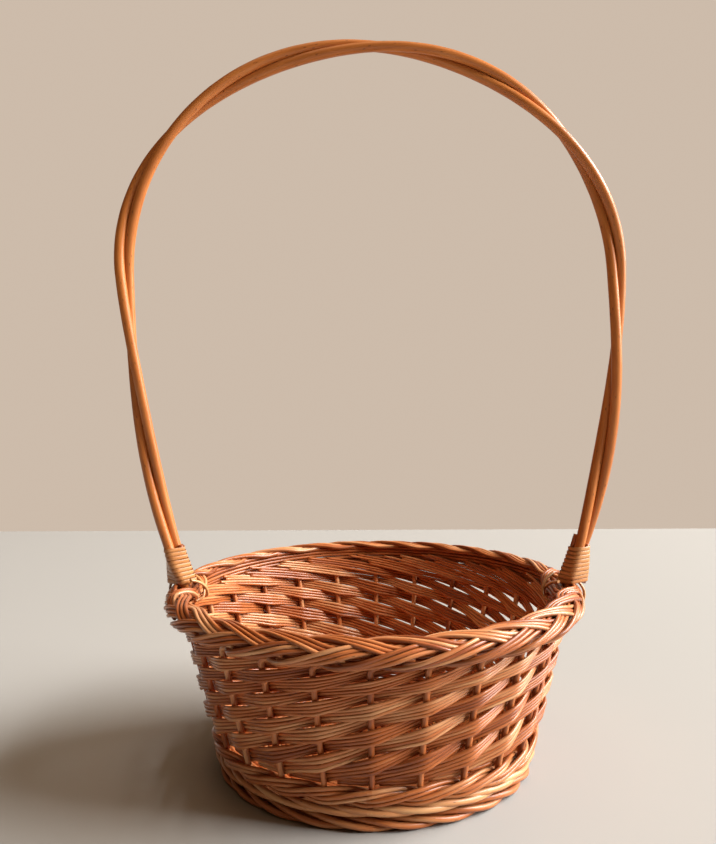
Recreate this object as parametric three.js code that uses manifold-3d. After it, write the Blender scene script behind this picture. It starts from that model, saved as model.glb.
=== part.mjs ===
// Round willow flower basket with a tall twisted handle.
// Millimetres, +Z up. The origin is on the table under the middle of the basket.
// The handle stands in the XZ plane. Angles run from the front (-Y) towards +X.

import * as THREE from 'three';
import { mergeVertices } from 'three/addons/utils/BufferGeometryUtils.js';
import Module from 'manifold-3d';

// Fit
const CLEARANCE = 0.35; // between rods that lie against each other

// Stakes, the uprights of the wall
const STAKE_COUNT = 24;
const STAKE_DIAMETER = 3;
const STAKE_TAIL = 28; // length pushed into the base weave
const STAKE_BEND = 6; // how far the lower bend reaches along each leg

// Wall: the middle of the wall is a cone through the stakes
const WALL_FLOOR_RADIUS = 83.6; // at table level
const WALL_FLARE_RATIO = 0.236; // growth of radius per millimetre of height

// Foot border under the base
const FOOT_HEIGHT = 6.9;
const FOOT_WIDTH = 8.4;
const FOOT_OVERHANG = 4.6; // beyond the middle of the wall at table level
const FOOT_FACETS = 36;

// Base: six pierced sticks, opened out into twelve arms, and the weave around them
const BASE_STICKS_EACH_WAY = 3;
const BASE_STICK_DIAMETER = 4;
const BASE_THICKNESS = 7;
const BASE_EYE_RADIUS = 18; // open middle where the sticks cross

// Upsett: three wale strands that hold the stakes upright above the base
const WALE_STRANDS = 3;
const WALE_STRAND_HEIGHT = 5.2;
const WALE_STRAND_THICKNESS = 2.2;
const WALE_STEPS_PER_STAKE = 2;
const WALE_SHIFT_SHARE = 0.25; // the swing's middle lies outside the wall by this share of it
const WALE_FLAT_SHARE = 0.52; // a strand lies flat against the two stakes it passes outside

// Siding: one band of four weavers starts at each stake and climbs one level per stake
const BAND_LEVELS = 8;
const BAND_THICKNESS = 1.8;
const BAND_GAP = 0.66; // between one level and the next
const FIRST_LEVEL_HEIGHT = 8.3;
const LAST_LEVEL_HEIGHT = 5.6;
const BAND_FLAT_SHARE = 0.2; // share of a stake space that lies flat beside the stake

// Border: the stakes turn over to the right and are plaited round a roll
const BORDER_LEVEL = 91.9; // height of the roll's centre circle
const BORDER_OVERHANG = 3.57; // of that circle beyond the middle of the wall
const ROLL_RADIUS = 7;
const ROLL_TILT_ANGLE = THREE.MathUtils.degToRad(20); // the plait faces outwards by this much
const PLAIT_SWING = 6; // sideways reach of a strand along the roll's skin
const PLAIT_LIFT = 2.1; // rise and dip of a strand where it crosses another
const PLAIT_PERIOD_RATIO = 3; // stake spaces in one full swing
const PLAIT_ENTRY_RATIO = 1.5; // stake spaces from a stake to where its strand joins the plait
const PLAIT_END_SHARE = 0.84; // share of one swing before the strand is cut off underneath
const STRAND_WIDTH = 6;
const STRAND_THICKNESS = 2;
const TURN_DEPTH = 4.2; // the stakes turn over this far below the roll's centre
const TURN_RISE = 3.9;
const TURN_REACH_RATIO = 0.2; // stake spaces taken by the turn
const STRAND_FLAT_RATIO = 1.1; // stake spaces from the stake to where its strand is flat
const FILLER_START_RATIO = 0.45; // a filler strand starts this far past the handle's stake
const STRAND_STEPS = 13;
const FINE_STRAND_STEPS = 21;
const UNDER_ROLL_RADIUS = 5.2; // the strands pass under the roll at this radius

// Handle: two rods twisted round each other
const HANDLE_ROD_DIAMETER = 5.7;
const HANDLE_TIP_DIAMETER = 2.4; // the ends are cut to a point that follows a stake down
const HANDLE_TOP = 397; // of the line between the rods
const HANDLE_BOW = 28.6; // the arch is this much wider than the border on each side
const HANDLE_WIDEST_LEVEL = 275;
const HANDLE_LEAN = -5.5; // how far the top stands to the side
const HANDLE_LEAN_START = 215;
const HANDLE_HALF_TURNS = 6;
const HANDLE_TIP_LEVEL = 58;
const HANDLE_TIP_START = 7; // the rods start to thin this far above the border
const HANDLE_TIP_END = 15; // and are at their thinnest this far below its top
const HANDLE_FOOT_LENGTH = 26; // in which the feet bend from the wall into the arch
const HANDLE_FOOT_SET = 2.5; // half-way up the bindings the arch is this far outside the border
const HANDLE_FOOT_FLARE_RATIO = 0.1; // the feet lean out this much more than the wall
const HANDLE_CLOSING = 4; // the rods close up from this far above the border to the binding's top
const HANDLE_STAKE_STUB = 3; // the stakes between the rods end this far above the border
const HANDLE_SAMPLES = 160;
const HANDLE_STEPS = 66;
const HANDLE_STAKES = [STAKE_COUNT / 4, (3 * STAKE_COUNT) / 4];

// Handle bindings: a thin cane wound round each foot of the handle, just above the border
const BINDING_CANE_DIAMETER = 1.9;
const BINDING_TURNS = 8;
const BINDING_PITCH = 2.55;
const BINDING_SPREAD = 3.4; // the winding is this much wider at the bottom than at the top
const BINDING_OVAL_RATIO = 1.38; // narrow half of the winding, against one rod and its cane
const BINDING_STEPS = 11; // per turn

// Opening in the plait for the handle
const PARTED_SWING = 10.4; // the strand inside the handle is pushed inwards this far
const PARTED_FULL_RATIO = 0.32; // stake spaces held apart on each side of the handle
const PARTED_FADE_RATIO = 0.95;
const PARTED_PUSH_RATIO = 0.67; // the push ends this far from the handle

// Derived sizes
const stakeRadius = STAKE_DIAMETER / 2;
const stakeStep = (2 * Math.PI) / STAKE_COUNT;
const baseLevel = FOOT_HEIGHT + CLEARANCE + stakeRadius;
const footOuterRadius = WALL_FLOOR_RADIUS + FOOT_OVERHANG;
const footInnerRadius = footOuterRadius - FOOT_WIDTH;
const baseOuterRadius = footInnerRadius - CLEARANCE;
const borderRadius = WALL_FLOOR_RADIUS + WALL_FLARE_RATIO * BORDER_LEVEL + BORDER_OVERHANG;
const handleRodRadius = HANDLE_ROD_DIAMETER / 2;
const handleTipRadius = HANDLE_TIP_DIAMETER / 2;
const caneRadius = BINDING_CANE_DIAMETER / 2;
const handleWidest = borderRadius + HANDLE_BOW;
const borderTop = BORDER_LEVEL + ROLL_RADIUS + PLAIT_LIFT + STRAND_THICKNESS / 2;
const bindingLow = borderTop + CLEARANCE + caneRadius;
const bindingHigh = bindingLow + BINDING_TURNS * BINDING_PITCH;

const willow = (color) => new THREE.MeshStandardMaterial({ color, roughness: 0.55, metalness: 0 });
const WEAVER_WILLOW = willow(0xb9763f);
const STAKE_WILLOW = willow(0xa8642f);
const HANDLE_WILLOW = willow(0xb5692c);
const BASE_WILLOW = willow(0x9c5f33);
const CANE = willow(0xc78a50);

const basket = new THREE.Group();
basket.name = 'flower_basket';

// Small helpers

const wallRadius = (z) => WALL_FLOOR_RADIUS + WALL_FLARE_RATIO * z;
const mix = (a, b, t) => a + (b - a) * t;
const smooth = (from, to, x) => THREE.MathUtils.smoothstep(x, from, to);
const label = (index) => String(index + 1).padStart(2, '0');

// A point at an angle round the basket, a distance from its axis and a height.
function around(angle, radius, z) {
  return new THREE.Vector3(radius * Math.sin(angle), -radius * Math.cos(angle), z);
}

// A direction given by its parts away from the axis and upwards.
function outwards(angle, away, up) {
  return new THREE.Vector3(away * Math.sin(angle), -away * Math.cos(angle), up);
}

// Corners of a section with so many sides, as shares of its half width and half thickness.
function roundSection(sides) {
  return Array.from({ length: sides }, (_, i) => {
    const turn = (2 * Math.PI * i) / sides;
    return [Math.cos(turn), Math.sin(turn)];
  });
}

const STRIP_SECTION = [[1, 1], [-1, 1], [-1, -1], [1, -1]];

// Carries a section along stations, each with a point, a normal, a half width across the
// normal and a half thickness along it. The ends are closed, or joined into a ring.
function sweep(stations, section, ring = false) {
  const count = stations.length;
  const sides = section.length;
  const positions = [];
  stations.forEach((station, i) => {
    const before = stations[ring ? (i + count - 1) % count : Math.max(i - 1, 0)].point;
    const after = stations[ring ? (i + 1) % count : Math.min(i + 1, count - 1)].point;
    const tangent = after.clone().sub(before).normalize();
    const across = tangent.clone().cross(station.normal).normalize();
    const normal = across.clone().cross(tangent);
    for (const [wide, thick] of section) {
      const corner = station.point.clone();
      corner.addScaledVector(across, wide * station.width);
      corner.addScaledVector(normal, thick * station.thickness);
      positions.push(corner.x, corner.y, corner.z);
    }
  });
  const triangles = [];
  const spans = ring ? count : count - 1;
  for (let i = 0; i < spans; i += 1) {
    const here = i * sides;
    const next = ((i + 1) % count) * sides;
    for (let j = 0; j < sides; j += 1) {
      const k = (j + 1) % sides;
      triangles.push(here + j, next + k, next + j, here + j, here + k, next + k);
    }
  }
  if (!ring) {
    const last = (count - 1) * sides;
    for (let j = 1; j < sides - 1; j += 1) {
      triangles.push(0, j + 1, j, last, last + j, last + j + 1);
    }
  }
  const geometry = new THREE.BufferGeometry();
  geometry.setAttribute('position', new THREE.Float32BufferAttribute(positions, 3));
  geometry.setIndex(facesOut(positions, triangles));
  return geometry;
}

// Turns every triangle over if the solid they enclose is inside out.
function facesOut(positions, triangles) {
  const corner = (i) => new THREE.Vector3().fromArray(positions, 3 * i);
  let volume = 0;
  for (let i = 0; i < triangles.length; i += 3) {
    const [a, b, c] = [0, 1, 2].map((n) => corner(triangles[i + n]));
    volume += a.dot(b.cross(c));
  }
  return volume > 0 ? triangles : triangles.reverse();
}

function addPiece(name, geometry, material) {
  geometry.computeVertexNormals();
  const mesh = new THREE.Mesh(geometry, material);
  mesh.name = name;
  basket.add(mesh);
}

// Booleans, for the base only

const wasm = await Module();
wasm.setup();

function toSolid(geometry) {
  const bare = geometry.clone();
  bare.deleteAttribute('normal');
  bare.deleteAttribute('uv');
  const merged = mergeVertices(bare, 1e-4);
  return new wasm.Manifold(new wasm.Mesh({
    numProp: 3,
    vertProperties: new Float32Array(merged.attributes.position.array),
    triVerts: new Uint32Array(merged.index.array),
  }));
}

function fromSolid(solid) {
  const { vertProperties, triVerts } = solid.getMesh();
  const geometry = new THREE.BufferGeometry();
  geometry.setAttribute('position', new THREE.BufferAttribute(vertProperties, 3));
  geometry.setIndex(new THREE.BufferAttribute(triVerts, 1));
  return geometry;
}

// A closed outline of [radius, height] points, turned round the Z axis.
function turned(outline, segments) {
  const points = [...outline, outline[0]].map(([r, z]) => new THREE.Vector2(r, z));
  const geometry = new THREE.LatheGeometry(points, segments);
  geometry.rotateX(Math.PI / 2);
  const bare = geometry.clone();
  bare.deleteAttribute('normal');
  bare.deleteAttribute('uv');
  const merged = mergeVertices(bare, 1e-4);
  const positions = Array.from(merged.attributes.position.array);
  merged.setIndex(facesOut(positions, Array.from(merged.index.array)));
  return merged;
}

// The foot border stands flat on the table. Its outside shows two rods, one on the other.
function footBorder() {
  const rodRadius = FOOT_HEIGHT / 4;
  const bulge = (level) => [-60, 0, 60].map((degrees) => {
    const turn = THREE.MathUtils.degToRad(degrees);
    return [
      footOuterRadius - rodRadius + rodRadius * Math.cos(turn),
      level + rodRadius * Math.sin(turn),
    ];
  });
  const outline = [
    [footInnerRadius + rodRadius, 0],
    [footOuterRadius - rodRadius, 0],
    ...bulge(rodRadius),
    ...bulge(3 * rodRadius),
    [footOuterRadius - rodRadius, FOOT_HEIGHT],
    [footInnerRadius + rodRadius, FOOT_HEIGHT],
    [footInnerRadius, 3 * rodRadius],
    [footInnerRadius, rodRadius],
  ];
  return turned(outline, FOOT_FACETS);
}

// One base stick: straight where it pierces the others, then opened out to its arm's angle.
function baseStick(heading, offset, opening, swell) {
  const bundle = BASE_STICKS_EACH_WAY * BASE_STICK_DIAMETER;
  const along = around(heading, 1, 0);
  const aside = around(heading + Math.PI / 2, 1, 0);
  const reach = baseOuterRadius - CLEARANCE;
  const route = [
    [-reach * Math.cos(opening), reach * Math.sin(opening)],
    [-bundle, offset],
    [bundle, offset],
    [reach * Math.cos(opening), reach * Math.sin(opening)],
  ];
  const stations = route.map(([x, y]) => ({
    point: new THREE.Vector3(0, 0, baseLevel).addScaledVector(along, x).addScaledVector(aside, y),
    normal: new THREE.Vector3(0, 0, 1),
    width: BASE_STICK_DIAMETER / 2 + swell,
    thickness: BASE_STICK_DIAMETER / 2 + swell,
  }));
  return toSolid(sweep(stations, roundSection(6)));
}

// All the base sticks as one pierced cross, grown on every side by swell.
function baseCross(swell) {
  const armStep = Math.PI / (2 * BASE_STICKS_EACH_WAY);
  const heading = stakeStep / 2;
  const middle = (BASE_STICKS_EACH_WAY - 1) / 2;
  let cross = null;
  for (const quarter of [0, 1]) {
    for (let i = 0; i < BASE_STICKS_EACH_WAY; i += 1) {
      const offset = (i - middle) * BASE_STICK_DIAMETER;
      const stick = baseStick(heading + (quarter * Math.PI) / 2, offset, (i - middle) * armStep, swell);
      cross = cross ? cross.add(stick) : stick;
    }
  }
  return cross;
}

// The woven disc round the cross, with a socket for each arm and each stake's tail.
function baseWeave() {
  const low = baseLevel - BASE_THICKNESS / 2;
  const high = baseLevel + BASE_THICKNESS / 2;
  const disc = turned([
    [BASE_EYE_RADIUS, low],
    [baseOuterRadius, low],
    [baseOuterRadius, high],
    [BASE_EYE_RADIUS, high],
  ], 2 * STAKE_COUNT);
  let weave = toSolid(disc).subtract(baseCross(CLEARANCE));
  for (let k = 0; k < STAKE_COUNT; k += 1) {
    const socket = [tailStart() - CLEARANCE, footOuterRadius].map((radius) => ({
      point: around(k * stakeStep, radius, baseLevel),
      normal: new THREE.Vector3(0, 0, 1),
      width: stakeRadius + CLEARANCE,
      thickness: stakeRadius + CLEARANCE,
    }));
    weave = weave.subtract(toSolid(sweep(socket, roundSection(6))));
  }
  return fromSolid(weave);
}

function tailStart() {
  return baseOuterRadius - STAKE_TAIL;
}

// Upsett wale: each strand passes outside two stakes and inside the third.
// At a stake the strands stand a third of a turn apart on an ellipse round the wall's middle.
const waleSwing = (stakeRadius + WALE_STRAND_THICKNESS / 2 + CLEARANCE)
  / (1 - WALE_SHIFT_SHARE);
const waleLift = (WALE_STRAND_HEIGHT + 3 * CLEARANCE) / Math.sqrt(3);
const waleLevel = baseLevel + STAKE_BEND + 3 * CLEARANCE;
const waleTop = waleLevel + waleLift + WALE_STRAND_HEIGHT / 2;

function waleStrand(index) {
  const steps = WALE_STEPS_PER_STAKE * STAKE_COUNT;
  const stations = [];
  for (let i = 0; i < steps; i += 1) {
    const spaces = i / WALE_STEPS_PER_STAKE;
    const turn = (2 * Math.PI * (spaces + index + 0.5)) / WALE_STRANDS;
    const z = waleLevel + waleLift * Math.sin(turn);
    const sway = waleSwing * (WALE_SHIFT_SHARE + Math.min(Math.cos(turn), WALE_FLAT_SHARE));
    const angle = spaces * stakeStep;
    stations.push({
      point: around(angle, wallRadius(z) + sway, z),
      normal: outwards(angle, 1, 0),
      width: WALE_STRAND_HEIGHT / 2,
      thickness: WALE_STRAND_THICKNESS / 2,
    });
  }
  return sweep(stations, roundSection(6), true);
}

// Siding: height of a band's middle after it has passed so many stakes.
const levelShrink = (FIRST_LEVEL_HEIGHT - LAST_LEVEL_HEIGHT) / BAND_LEVELS;
const levelHeight = (passed) => FIRST_LEVEL_HEIGHT - levelShrink * passed;
const sidingStart = waleTop + CLEARANCE + FIRST_LEVEL_HEIGHT * (0.5 + BAND_FLAT_SHARE);
const bandLevel = (passed) => (
  sidingStart + FIRST_LEVEL_HEIGHT * passed - (levelShrink * passed * passed) / 2
);

// A band lies flat inside one stake and outside the next, and slants across between them.
// It starts as a wedge on top of the upsett, one stake before its first full level.
function weaverBand(start) {
  const sway = stakeRadius + BAND_THICKNESS / 2 + CLEARANCE;
  const stations = [];
  for (let passed = -1; passed <= BAND_LEVELS; passed += 1) {
    const side = passed % 2 === 0 ? -1 : 1;
    for (const beside of [passed < 0 ? 0 : -BAND_FLAT_SHARE, BAND_FLAT_SHARE]) {
      const spaces = passed + beside;
      const angle = (start + spaces) * stakeStep;
      const half = (levelHeight(spaces) - BAND_GAP) / 2;
      const top = bandLevel(spaces) + half;
      const bottom = Math.max(bandLevel(spaces) - half, waleTop + CLEARANCE);
      const z = (top + bottom) / 2;
      stations.push({
        point: around(angle, wallRadius(z) + side * sway, z),
        normal: outwards(angle, 1, -WALL_FLARE_RATIO),
        width: (top - bottom) / 2,
        thickness: BAND_THICKNESS / 2,
      });
    }
  }
  return sweep(stations, STRIP_SECTION);
}

// A point on the border roll: bearing 0 is straight up and a quarter turn is straight out.
function onRoll(angle, bearing, distance) {
  return around(
    angle,
    borderRadius + distance * Math.sin(bearing),
    BORDER_LEVEL + distance * Math.cos(bearing),
  );
}

// Stake spaces from the nearer foot of the handle to a place round the border.
function fromHandle(place) {
  const away = HANDLE_STAKES.map((k) => {
    const turns = (place - k) / STAKE_COUNT;
    return (turns - Math.round(turns)) * STAKE_COUNT;
  });
  return away.reduce((a, b) => (Math.abs(a) < Math.abs(b) ? a : b));
}

// Beside the handle the plait stands still, and it catches up again on both sides.
function heldPlace(place) {
  const away = fromHandle(place);
  if (Math.abs(away) > PARTED_FADE_RATIO) return place;
  const free = Math.max(0, Math.abs(away) - PARTED_FULL_RATIO) / (PARTED_FADE_RATIO - PARTED_FULL_RATIO);
  return place + Math.sign(away) * free * PARTED_FADE_RATIO - away;
}

// A strand of the plait from one place to another, counted in stake spaces from its stake.
// First it runs out under the roll, then it swings over the roll in a three-strand plait.
function borderStrand(stake, from, to, steps) {
  const turnLevel = BORDER_LEVEL - TURN_DEPTH;
  const inset = wallRadius(turnLevel) - borderRadius;
  const firstBearing = Math.atan2(inset, -TURN_DEPTH);
  const firstDistance = Math.hypot(inset, TURN_DEPTH);
  const entryBearing = ROLL_TILT_ANGLE + PLAIT_SWING / ROLL_RADIUS - 2 * Math.PI;
  const stations = [];
  for (let i = 0; i <= steps; i += 1) {
    const place = stake + mix(from, to, i / steps);
    const angle = place * stakeStep;
    const spaces = heldPlace(place) - stake;
    let bearing;
    let distance;
    if (spaces < PLAIT_ENTRY_RATIO) {
      const share = (spaces - TURN_REACH_RATIO) / (PLAIT_ENTRY_RATIO - TURN_REACH_RATIO);
      const dip = Math.sin(Math.PI * share);
      bearing = mix(firstBearing, entryBearing, share);
      distance = mix(firstDistance, ROLL_RADIUS, share);
      distance -= dip * (mix(firstDistance, ROLL_RADIUS, 0.5) - UNDER_ROLL_RADIUS);
    } else {
      const turn = (2 * Math.PI * (spaces - PLAIT_ENTRY_RATIO)) / PLAIT_PERIOD_RATIO;
      const away = fromHandle(place);
      const held = 1 - smooth(PARTED_FULL_RATIO, PARTED_PUSH_RATIO, Math.abs(away));
      const turnAtHandle = turn - (2 * Math.PI * fromHandle(stake + spaces)) / PLAIT_PERIOD_RATIO;
      let swing = PLAIT_SWING * Math.cos(turn);
      if (Math.cos(turnAtHandle) < 0) swing = mix(swing, -PARTED_SWING, held);
      bearing = ROLL_TILT_ANGLE + swing / ROLL_RADIUS;
      distance = ROLL_RADIUS + PLAIT_LIFT * Math.sin(2 * turn);
    }
    const flat = smooth(TURN_REACH_RATIO, STRAND_FLAT_RATIO, spaces);
    stations.push({
      point: onRoll(angle, bearing, distance),
      normal: outwards(angle, Math.sin(bearing), Math.cos(bearing)),
      width: mix(stakeRadius, STRAND_WIDTH / 2, flat),
      thickness: mix(stakeRadius, STRAND_THICKNESS / 2, flat),
    });
  }
  return stations;
}

// The lower part of a stake: a tail in the base, a bend, and the start of the wall.
function stakeFoot(k) {
  const angle = k * stakeStep;
  const corner = wallRadius(baseLevel);
  const round = (radius, z, away, up) => ({
    point: around(angle, radius, z),
    normal: outwards(angle, away, up),
    width: stakeRadius,
    thickness: stakeRadius,
  });
  const stations = [round(tailStart(), baseLevel, 0, 1)];
  for (const t of [0, 0.5, 1]) {
    const z = baseLevel + STAKE_BEND * t * t;
    const before = corner - STAKE_BEND * (1 - t) * (1 - t);
    stations.push(round(before + (wallRadius(z) - corner), z, -t, 1 - t));
  }
  return stations;
}

// A stake whose top turns over to the right and joins the plait.
function plaitedStake(k) {
  const angle = k * stakeStep;
  const stations = stakeFoot(k);
  const turnLevel = BORDER_LEVEL - TURN_DEPTH;
  for (const quarter of [0, 0.5]) {
    const rise = TURN_RISE * Math.sin((quarter * Math.PI) / 2);
    const reach = TURN_REACH_RATIO * (1 - Math.cos((quarter * Math.PI) / 2));
    const z = turnLevel - TURN_RISE + rise;
    const turnAngle = angle + reach * stakeStep;
    stations.push({
      point: around(turnAngle, wallRadius(z), z),
      normal: outwards(turnAngle, -1, 0),
      width: stakeRadius,
      thickness: stakeRadius,
    });
  }
  return [...stations, ...plaitedEnd(k, TURN_REACH_RATIO)];
}

// The plaited end of a stake, in finer steps where it passes the handle.
function plaitedEnd(k, from) {
  const cut = PLAIT_ENTRY_RATIO + PLAIT_PERIOD_RATIO * PLAIT_END_SHARE;
  const ahead = HANDLE_STAKES.map((h) => THREE.MathUtils.euclideanModulo(h - k, STAKE_COUNT));
  const passes = ahead.some((spaces) => spaces < cut + PARTED_FADE_RATIO);
  return borderStrand(k, from, cut, passes ? FINE_STRAND_STEPS : STRAND_STEPS);
}

// The lower quarters of the arch are parts of ellipses that come down just outside the border's
// centre circle half-way up the bindings.
const handleRatio = (borderRadius + HANDLE_FOOT_SET) / handleWidest;
const handleLowerReach = (HANDLE_WIDEST_LEVEL - (bindingLow + bindingHigh) / 2)
  / Math.sqrt(1 - handleRatio * handleRatio);

// Handle centreline in the XZ plane, from the left tip over the top to the right tip.
function handleHalfWidth(z) {
  const drop = (HANDLE_WIDEST_LEVEL - z) / handleLowerReach;
  const bow = handleWidest * Math.sqrt(1 - drop * drop);
  const aboveTurn = Math.max(0, z - (BORDER_LEVEL - TURN_DEPTH));
  const foot = wallRadius(z) + HANDLE_FOOT_FLARE_RATIO * aboveTurn;
  return mix(foot, bow, smooth(BORDER_LEVEL, BORDER_LEVEL + HANDLE_FOOT_LENGTH, z));
}

const handleLean = (z) => HANDLE_LEAN * smooth(HANDLE_LEAN_START, HANDLE_TOP, z);

function handleRoute() {
  const points = [];
  const place = (x, z) => points.push(new THREE.Vector3(x + handleLean(z), 0, z));
  const span = HANDLE_WIDEST_LEVEL - HANDLE_TIP_LEVEL;
  for (let i = 0; i < HANDLE_SAMPLES; i += 1) {
    const z = HANDLE_TIP_LEVEL + (span * i) / HANDLE_SAMPLES;
    place(-handleHalfWidth(z), z);
  }
  for (let i = 0; i <= 2 * HANDLE_SAMPLES; i += 1) {
    const turn = (Math.PI * i) / (2 * HANDLE_SAMPLES);
    const rise = HANDLE_TOP - HANDLE_WIDEST_LEVEL;
    place(-handleWidest * Math.cos(turn), HANDLE_WIDEST_LEVEL + rise * Math.sin(turn));
  }
  for (let i = HANDLE_SAMPLES - 1; i >= 0; i -= 1) {
    const z = HANDLE_TIP_LEVEL + (span * i) / HANDLE_SAMPLES;
    place(handleHalfWidth(z), z);
  }
  return points;
}

// Below the binding the rods stand apart, one on each side of the stake between them.
function handleRadius(z) {
  const thickening = smooth(borderTop - HANDLE_TIP_END, borderTop + HANDLE_TIP_START, z);
  return mix(handleTipRadius, handleRodRadius, thickening);
}

function handleSpread(z) {
  const astride = stakeRadius + CLEARANCE + handleRadius(z);
  const together = handleRodRadius + CLEARANCE / 2;
  return mix(astride, together, smooth(borderTop + HANDLE_CLOSING, bindingHigh + HANDLE_CLOSING, z));
}

const handlePath = new THREE.CatmullRomCurve3(handleRoute());
handlePath.arcLengthDivisions = 1200;
const handleLength = handlePath.getLength();

// The rods stay side by side below the border and twist evenly from there to the other foot.
const handleRamp = (borderTop - HANDLE_TIP_LEVEL) / handleLength;

function handleTwist(share) {
  const twisted = THREE.MathUtils.clamp((share - handleRamp) / (1 - 2 * handleRamp), 0, 1);
  return HANDLE_HALF_TURNS * Math.PI * twisted;
}

function handleStation(share, side) {
  const centre = handlePath.getPointAt(share);
  const tangent = handlePath.getTangentAt(share);
  const outer = new THREE.Vector3(-tangent.z, 0, tangent.x);
  const front = new THREE.Vector3(0, -1, 0);
  const turn = handleTwist(share);
  const away = front.multiplyScalar(Math.cos(turn)).addScaledVector(outer, Math.sin(turn));
  return {
    point: centre.clone().addScaledVector(away, side * handleSpread(centre.z)),
    normal: away,
    width: handleRadius(centre.z),
    thickness: handleRadius(centre.z),
  };
}

function handleRod(side) {
  const stations = [];
  for (let i = 0; i <= HANDLE_STEPS; i += 1) {
    stations.push(handleStation(i / HANDLE_STEPS, side));
  }
  return sweep(stations, roundSection(8));
}

// The two stakes at the handle stand straight up between its rods.
function handleStake(k) {
  const angle = k * stakeStep;
  const stations = stakeFoot(k);
  const levels = [BORDER_LEVEL - TURN_DEPTH, borderTop, borderTop + HANDLE_STAKE_STUB];
  for (const z of levels) {
    stations.push({
      point: around(angle, handleHalfWidth(z), z),
      normal: outwards(angle, -1, 0),
      width: stakeRadius,
      thickness: stakeRadius,
    });
  }
  return stations;
}

// Winding of cane round one foot of the handle, wider at the border than at the top.
function bindingStations(side) {
  const total = BINDING_TURNS * BINDING_STEPS;
  const stations = [];
  for (let i = 0; i <= total; i += 1) {
    const turn = (2 * Math.PI * i) / BINDING_STEPS;
    const rise = i / total;
    const z = mix(bindingLow, bindingHigh, rise);
    const spread = handleSpread(z);
    const reach = handleRodRadius + CLEARANCE + caneRadius;
    const across = BINDING_OVAL_RATIO * reach + BINDING_SPREAD * (1 - rise);
    const along = across * Math.sqrt(1 + (spread * spread) / (across * across - reach * reach));
    const twist = handleTwist(handleRamp + (z - borderTop) / handleLength);
    const pair = new THREE.Vector3(-Math.sin(twist), -Math.cos(twist), 0);
    const square = new THREE.Vector3(-pair.y, pair.x, 0);
    const away = pair.multiplyScalar(along * Math.cos(turn));
    away.addScaledVector(square, across * Math.sin(turn));
    stations.push({
      point: new THREE.Vector3(side * handleHalfWidth(z), 0, z).add(away),
      normal: away.clone().normalize(),
      width: caneRadius,
      thickness: caneRadius,
    });
  }
  for (const [end, next] of [[0, 1], [total, total - 1]]) {
    const tail = stations[end];
    const run = tail.point.clone().sub(stations[next].point).normalize();
    const point = tail.point.clone().addScaledVector(run, BINDING_CANE_DIAMETER);
    const straight = { ...tail, point };
    if (end === 0) stations.unshift(straight);
    else stations.push(straight);
  }
  return stations;
}

// Least gap between turns of a winding, from the points of its centreline.
function leastGap(stations) {
  let least = Infinity;
  for (let i = 0; i < stations.length; i += 1) {
    for (let j = i + Math.round(BINDING_STEPS / 2); j < stations.length; j += 1) {
      least = Math.min(least, stations[i].point.distanceTo(stations[j].point));
    }
  }
  return least - BINDING_CANE_DIAMETER;
}

// Assembly

addPiece('foot_border', footBorder(), BASE_WILLOW);
addPiece('base_cross', fromSolid(baseCross(0)), BASE_WILLOW);
addPiece('base_weave', baseWeave(), BASE_WILLOW);

for (let i = 0; i < WALE_STRANDS; i += 1) {
  addPiece(`upsett_wale_${'abc'[i]}`, waleStrand(i), WEAVER_WILLOW);
}

for (let k = 0; k < STAKE_COUNT; k += 1) {
  const atHandle = HANDLE_STAKES.includes(k);
  const stations = atHandle ? handleStake(k) : plaitedStake(k);
  addPiece(`side_stake_${label(k)}`, sweep(stations, roundSection(6)), STAKE_WILLOW);
  addPiece(`weaver_band_${label(k)}`, weaverBand(k), WEAVER_WILLOW);
}

['right', 'left'].forEach((name, i) => {
  const k = HANDLE_STAKES[i];
  const strand = sweep(plaitedEnd(k, FILLER_START_RATIO), roundSection(6));
  addPiece(`border_filler_${name}`, strand, STAKE_WILLOW);
});

addPiece('handle_rod_a', handleRod(1), HANDLE_WILLOW);
addPiece('handle_rod_b', handleRod(-1), HANDLE_WILLOW);

for (const [name, side] of [['left', -1], ['right', 1]]) {
  const stations = bindingStations(side);
  console.log(`handle_binding_${name}: least gap between turns ${leastGap(stations).toFixed(2)} mm`);
  addPiece(`handle_binding_${name}`, sweep(stations, roundSection(5)), CANE);
}

export default basket;
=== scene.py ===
"""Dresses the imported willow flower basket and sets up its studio.

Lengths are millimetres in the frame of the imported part, apart from the studio's, which are metres:
+Z up, the table at zero, the handle in the XZ plane. Angles run from the front (-Y) towards +X.
A stake space is the way round from one stake to the next.
"""

import logging
import math
from dataclasses import dataclass, field, replace
from enum import Enum

import bpy
import numpy as np
from mathutils import Matrix, Vector
from numpy.typing import NDArray

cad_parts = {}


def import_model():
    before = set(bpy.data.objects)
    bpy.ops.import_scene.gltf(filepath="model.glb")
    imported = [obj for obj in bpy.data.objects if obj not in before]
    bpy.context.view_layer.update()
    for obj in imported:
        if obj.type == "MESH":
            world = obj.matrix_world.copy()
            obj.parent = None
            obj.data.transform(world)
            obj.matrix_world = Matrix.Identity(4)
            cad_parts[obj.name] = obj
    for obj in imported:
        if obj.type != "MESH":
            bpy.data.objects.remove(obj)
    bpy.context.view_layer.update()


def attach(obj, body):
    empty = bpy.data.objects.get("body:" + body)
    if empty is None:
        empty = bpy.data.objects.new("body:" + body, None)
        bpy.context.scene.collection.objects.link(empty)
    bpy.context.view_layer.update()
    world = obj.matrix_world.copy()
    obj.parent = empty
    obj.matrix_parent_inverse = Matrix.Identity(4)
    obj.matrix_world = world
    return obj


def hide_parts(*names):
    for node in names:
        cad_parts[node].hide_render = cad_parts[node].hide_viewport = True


LOG = logging.getLogger("flower_basket")

Array = NDArray[np.float64]
Corners = NDArray[np.int64]
Triple = tuple[float, float, float]
Colour = Triple

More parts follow.
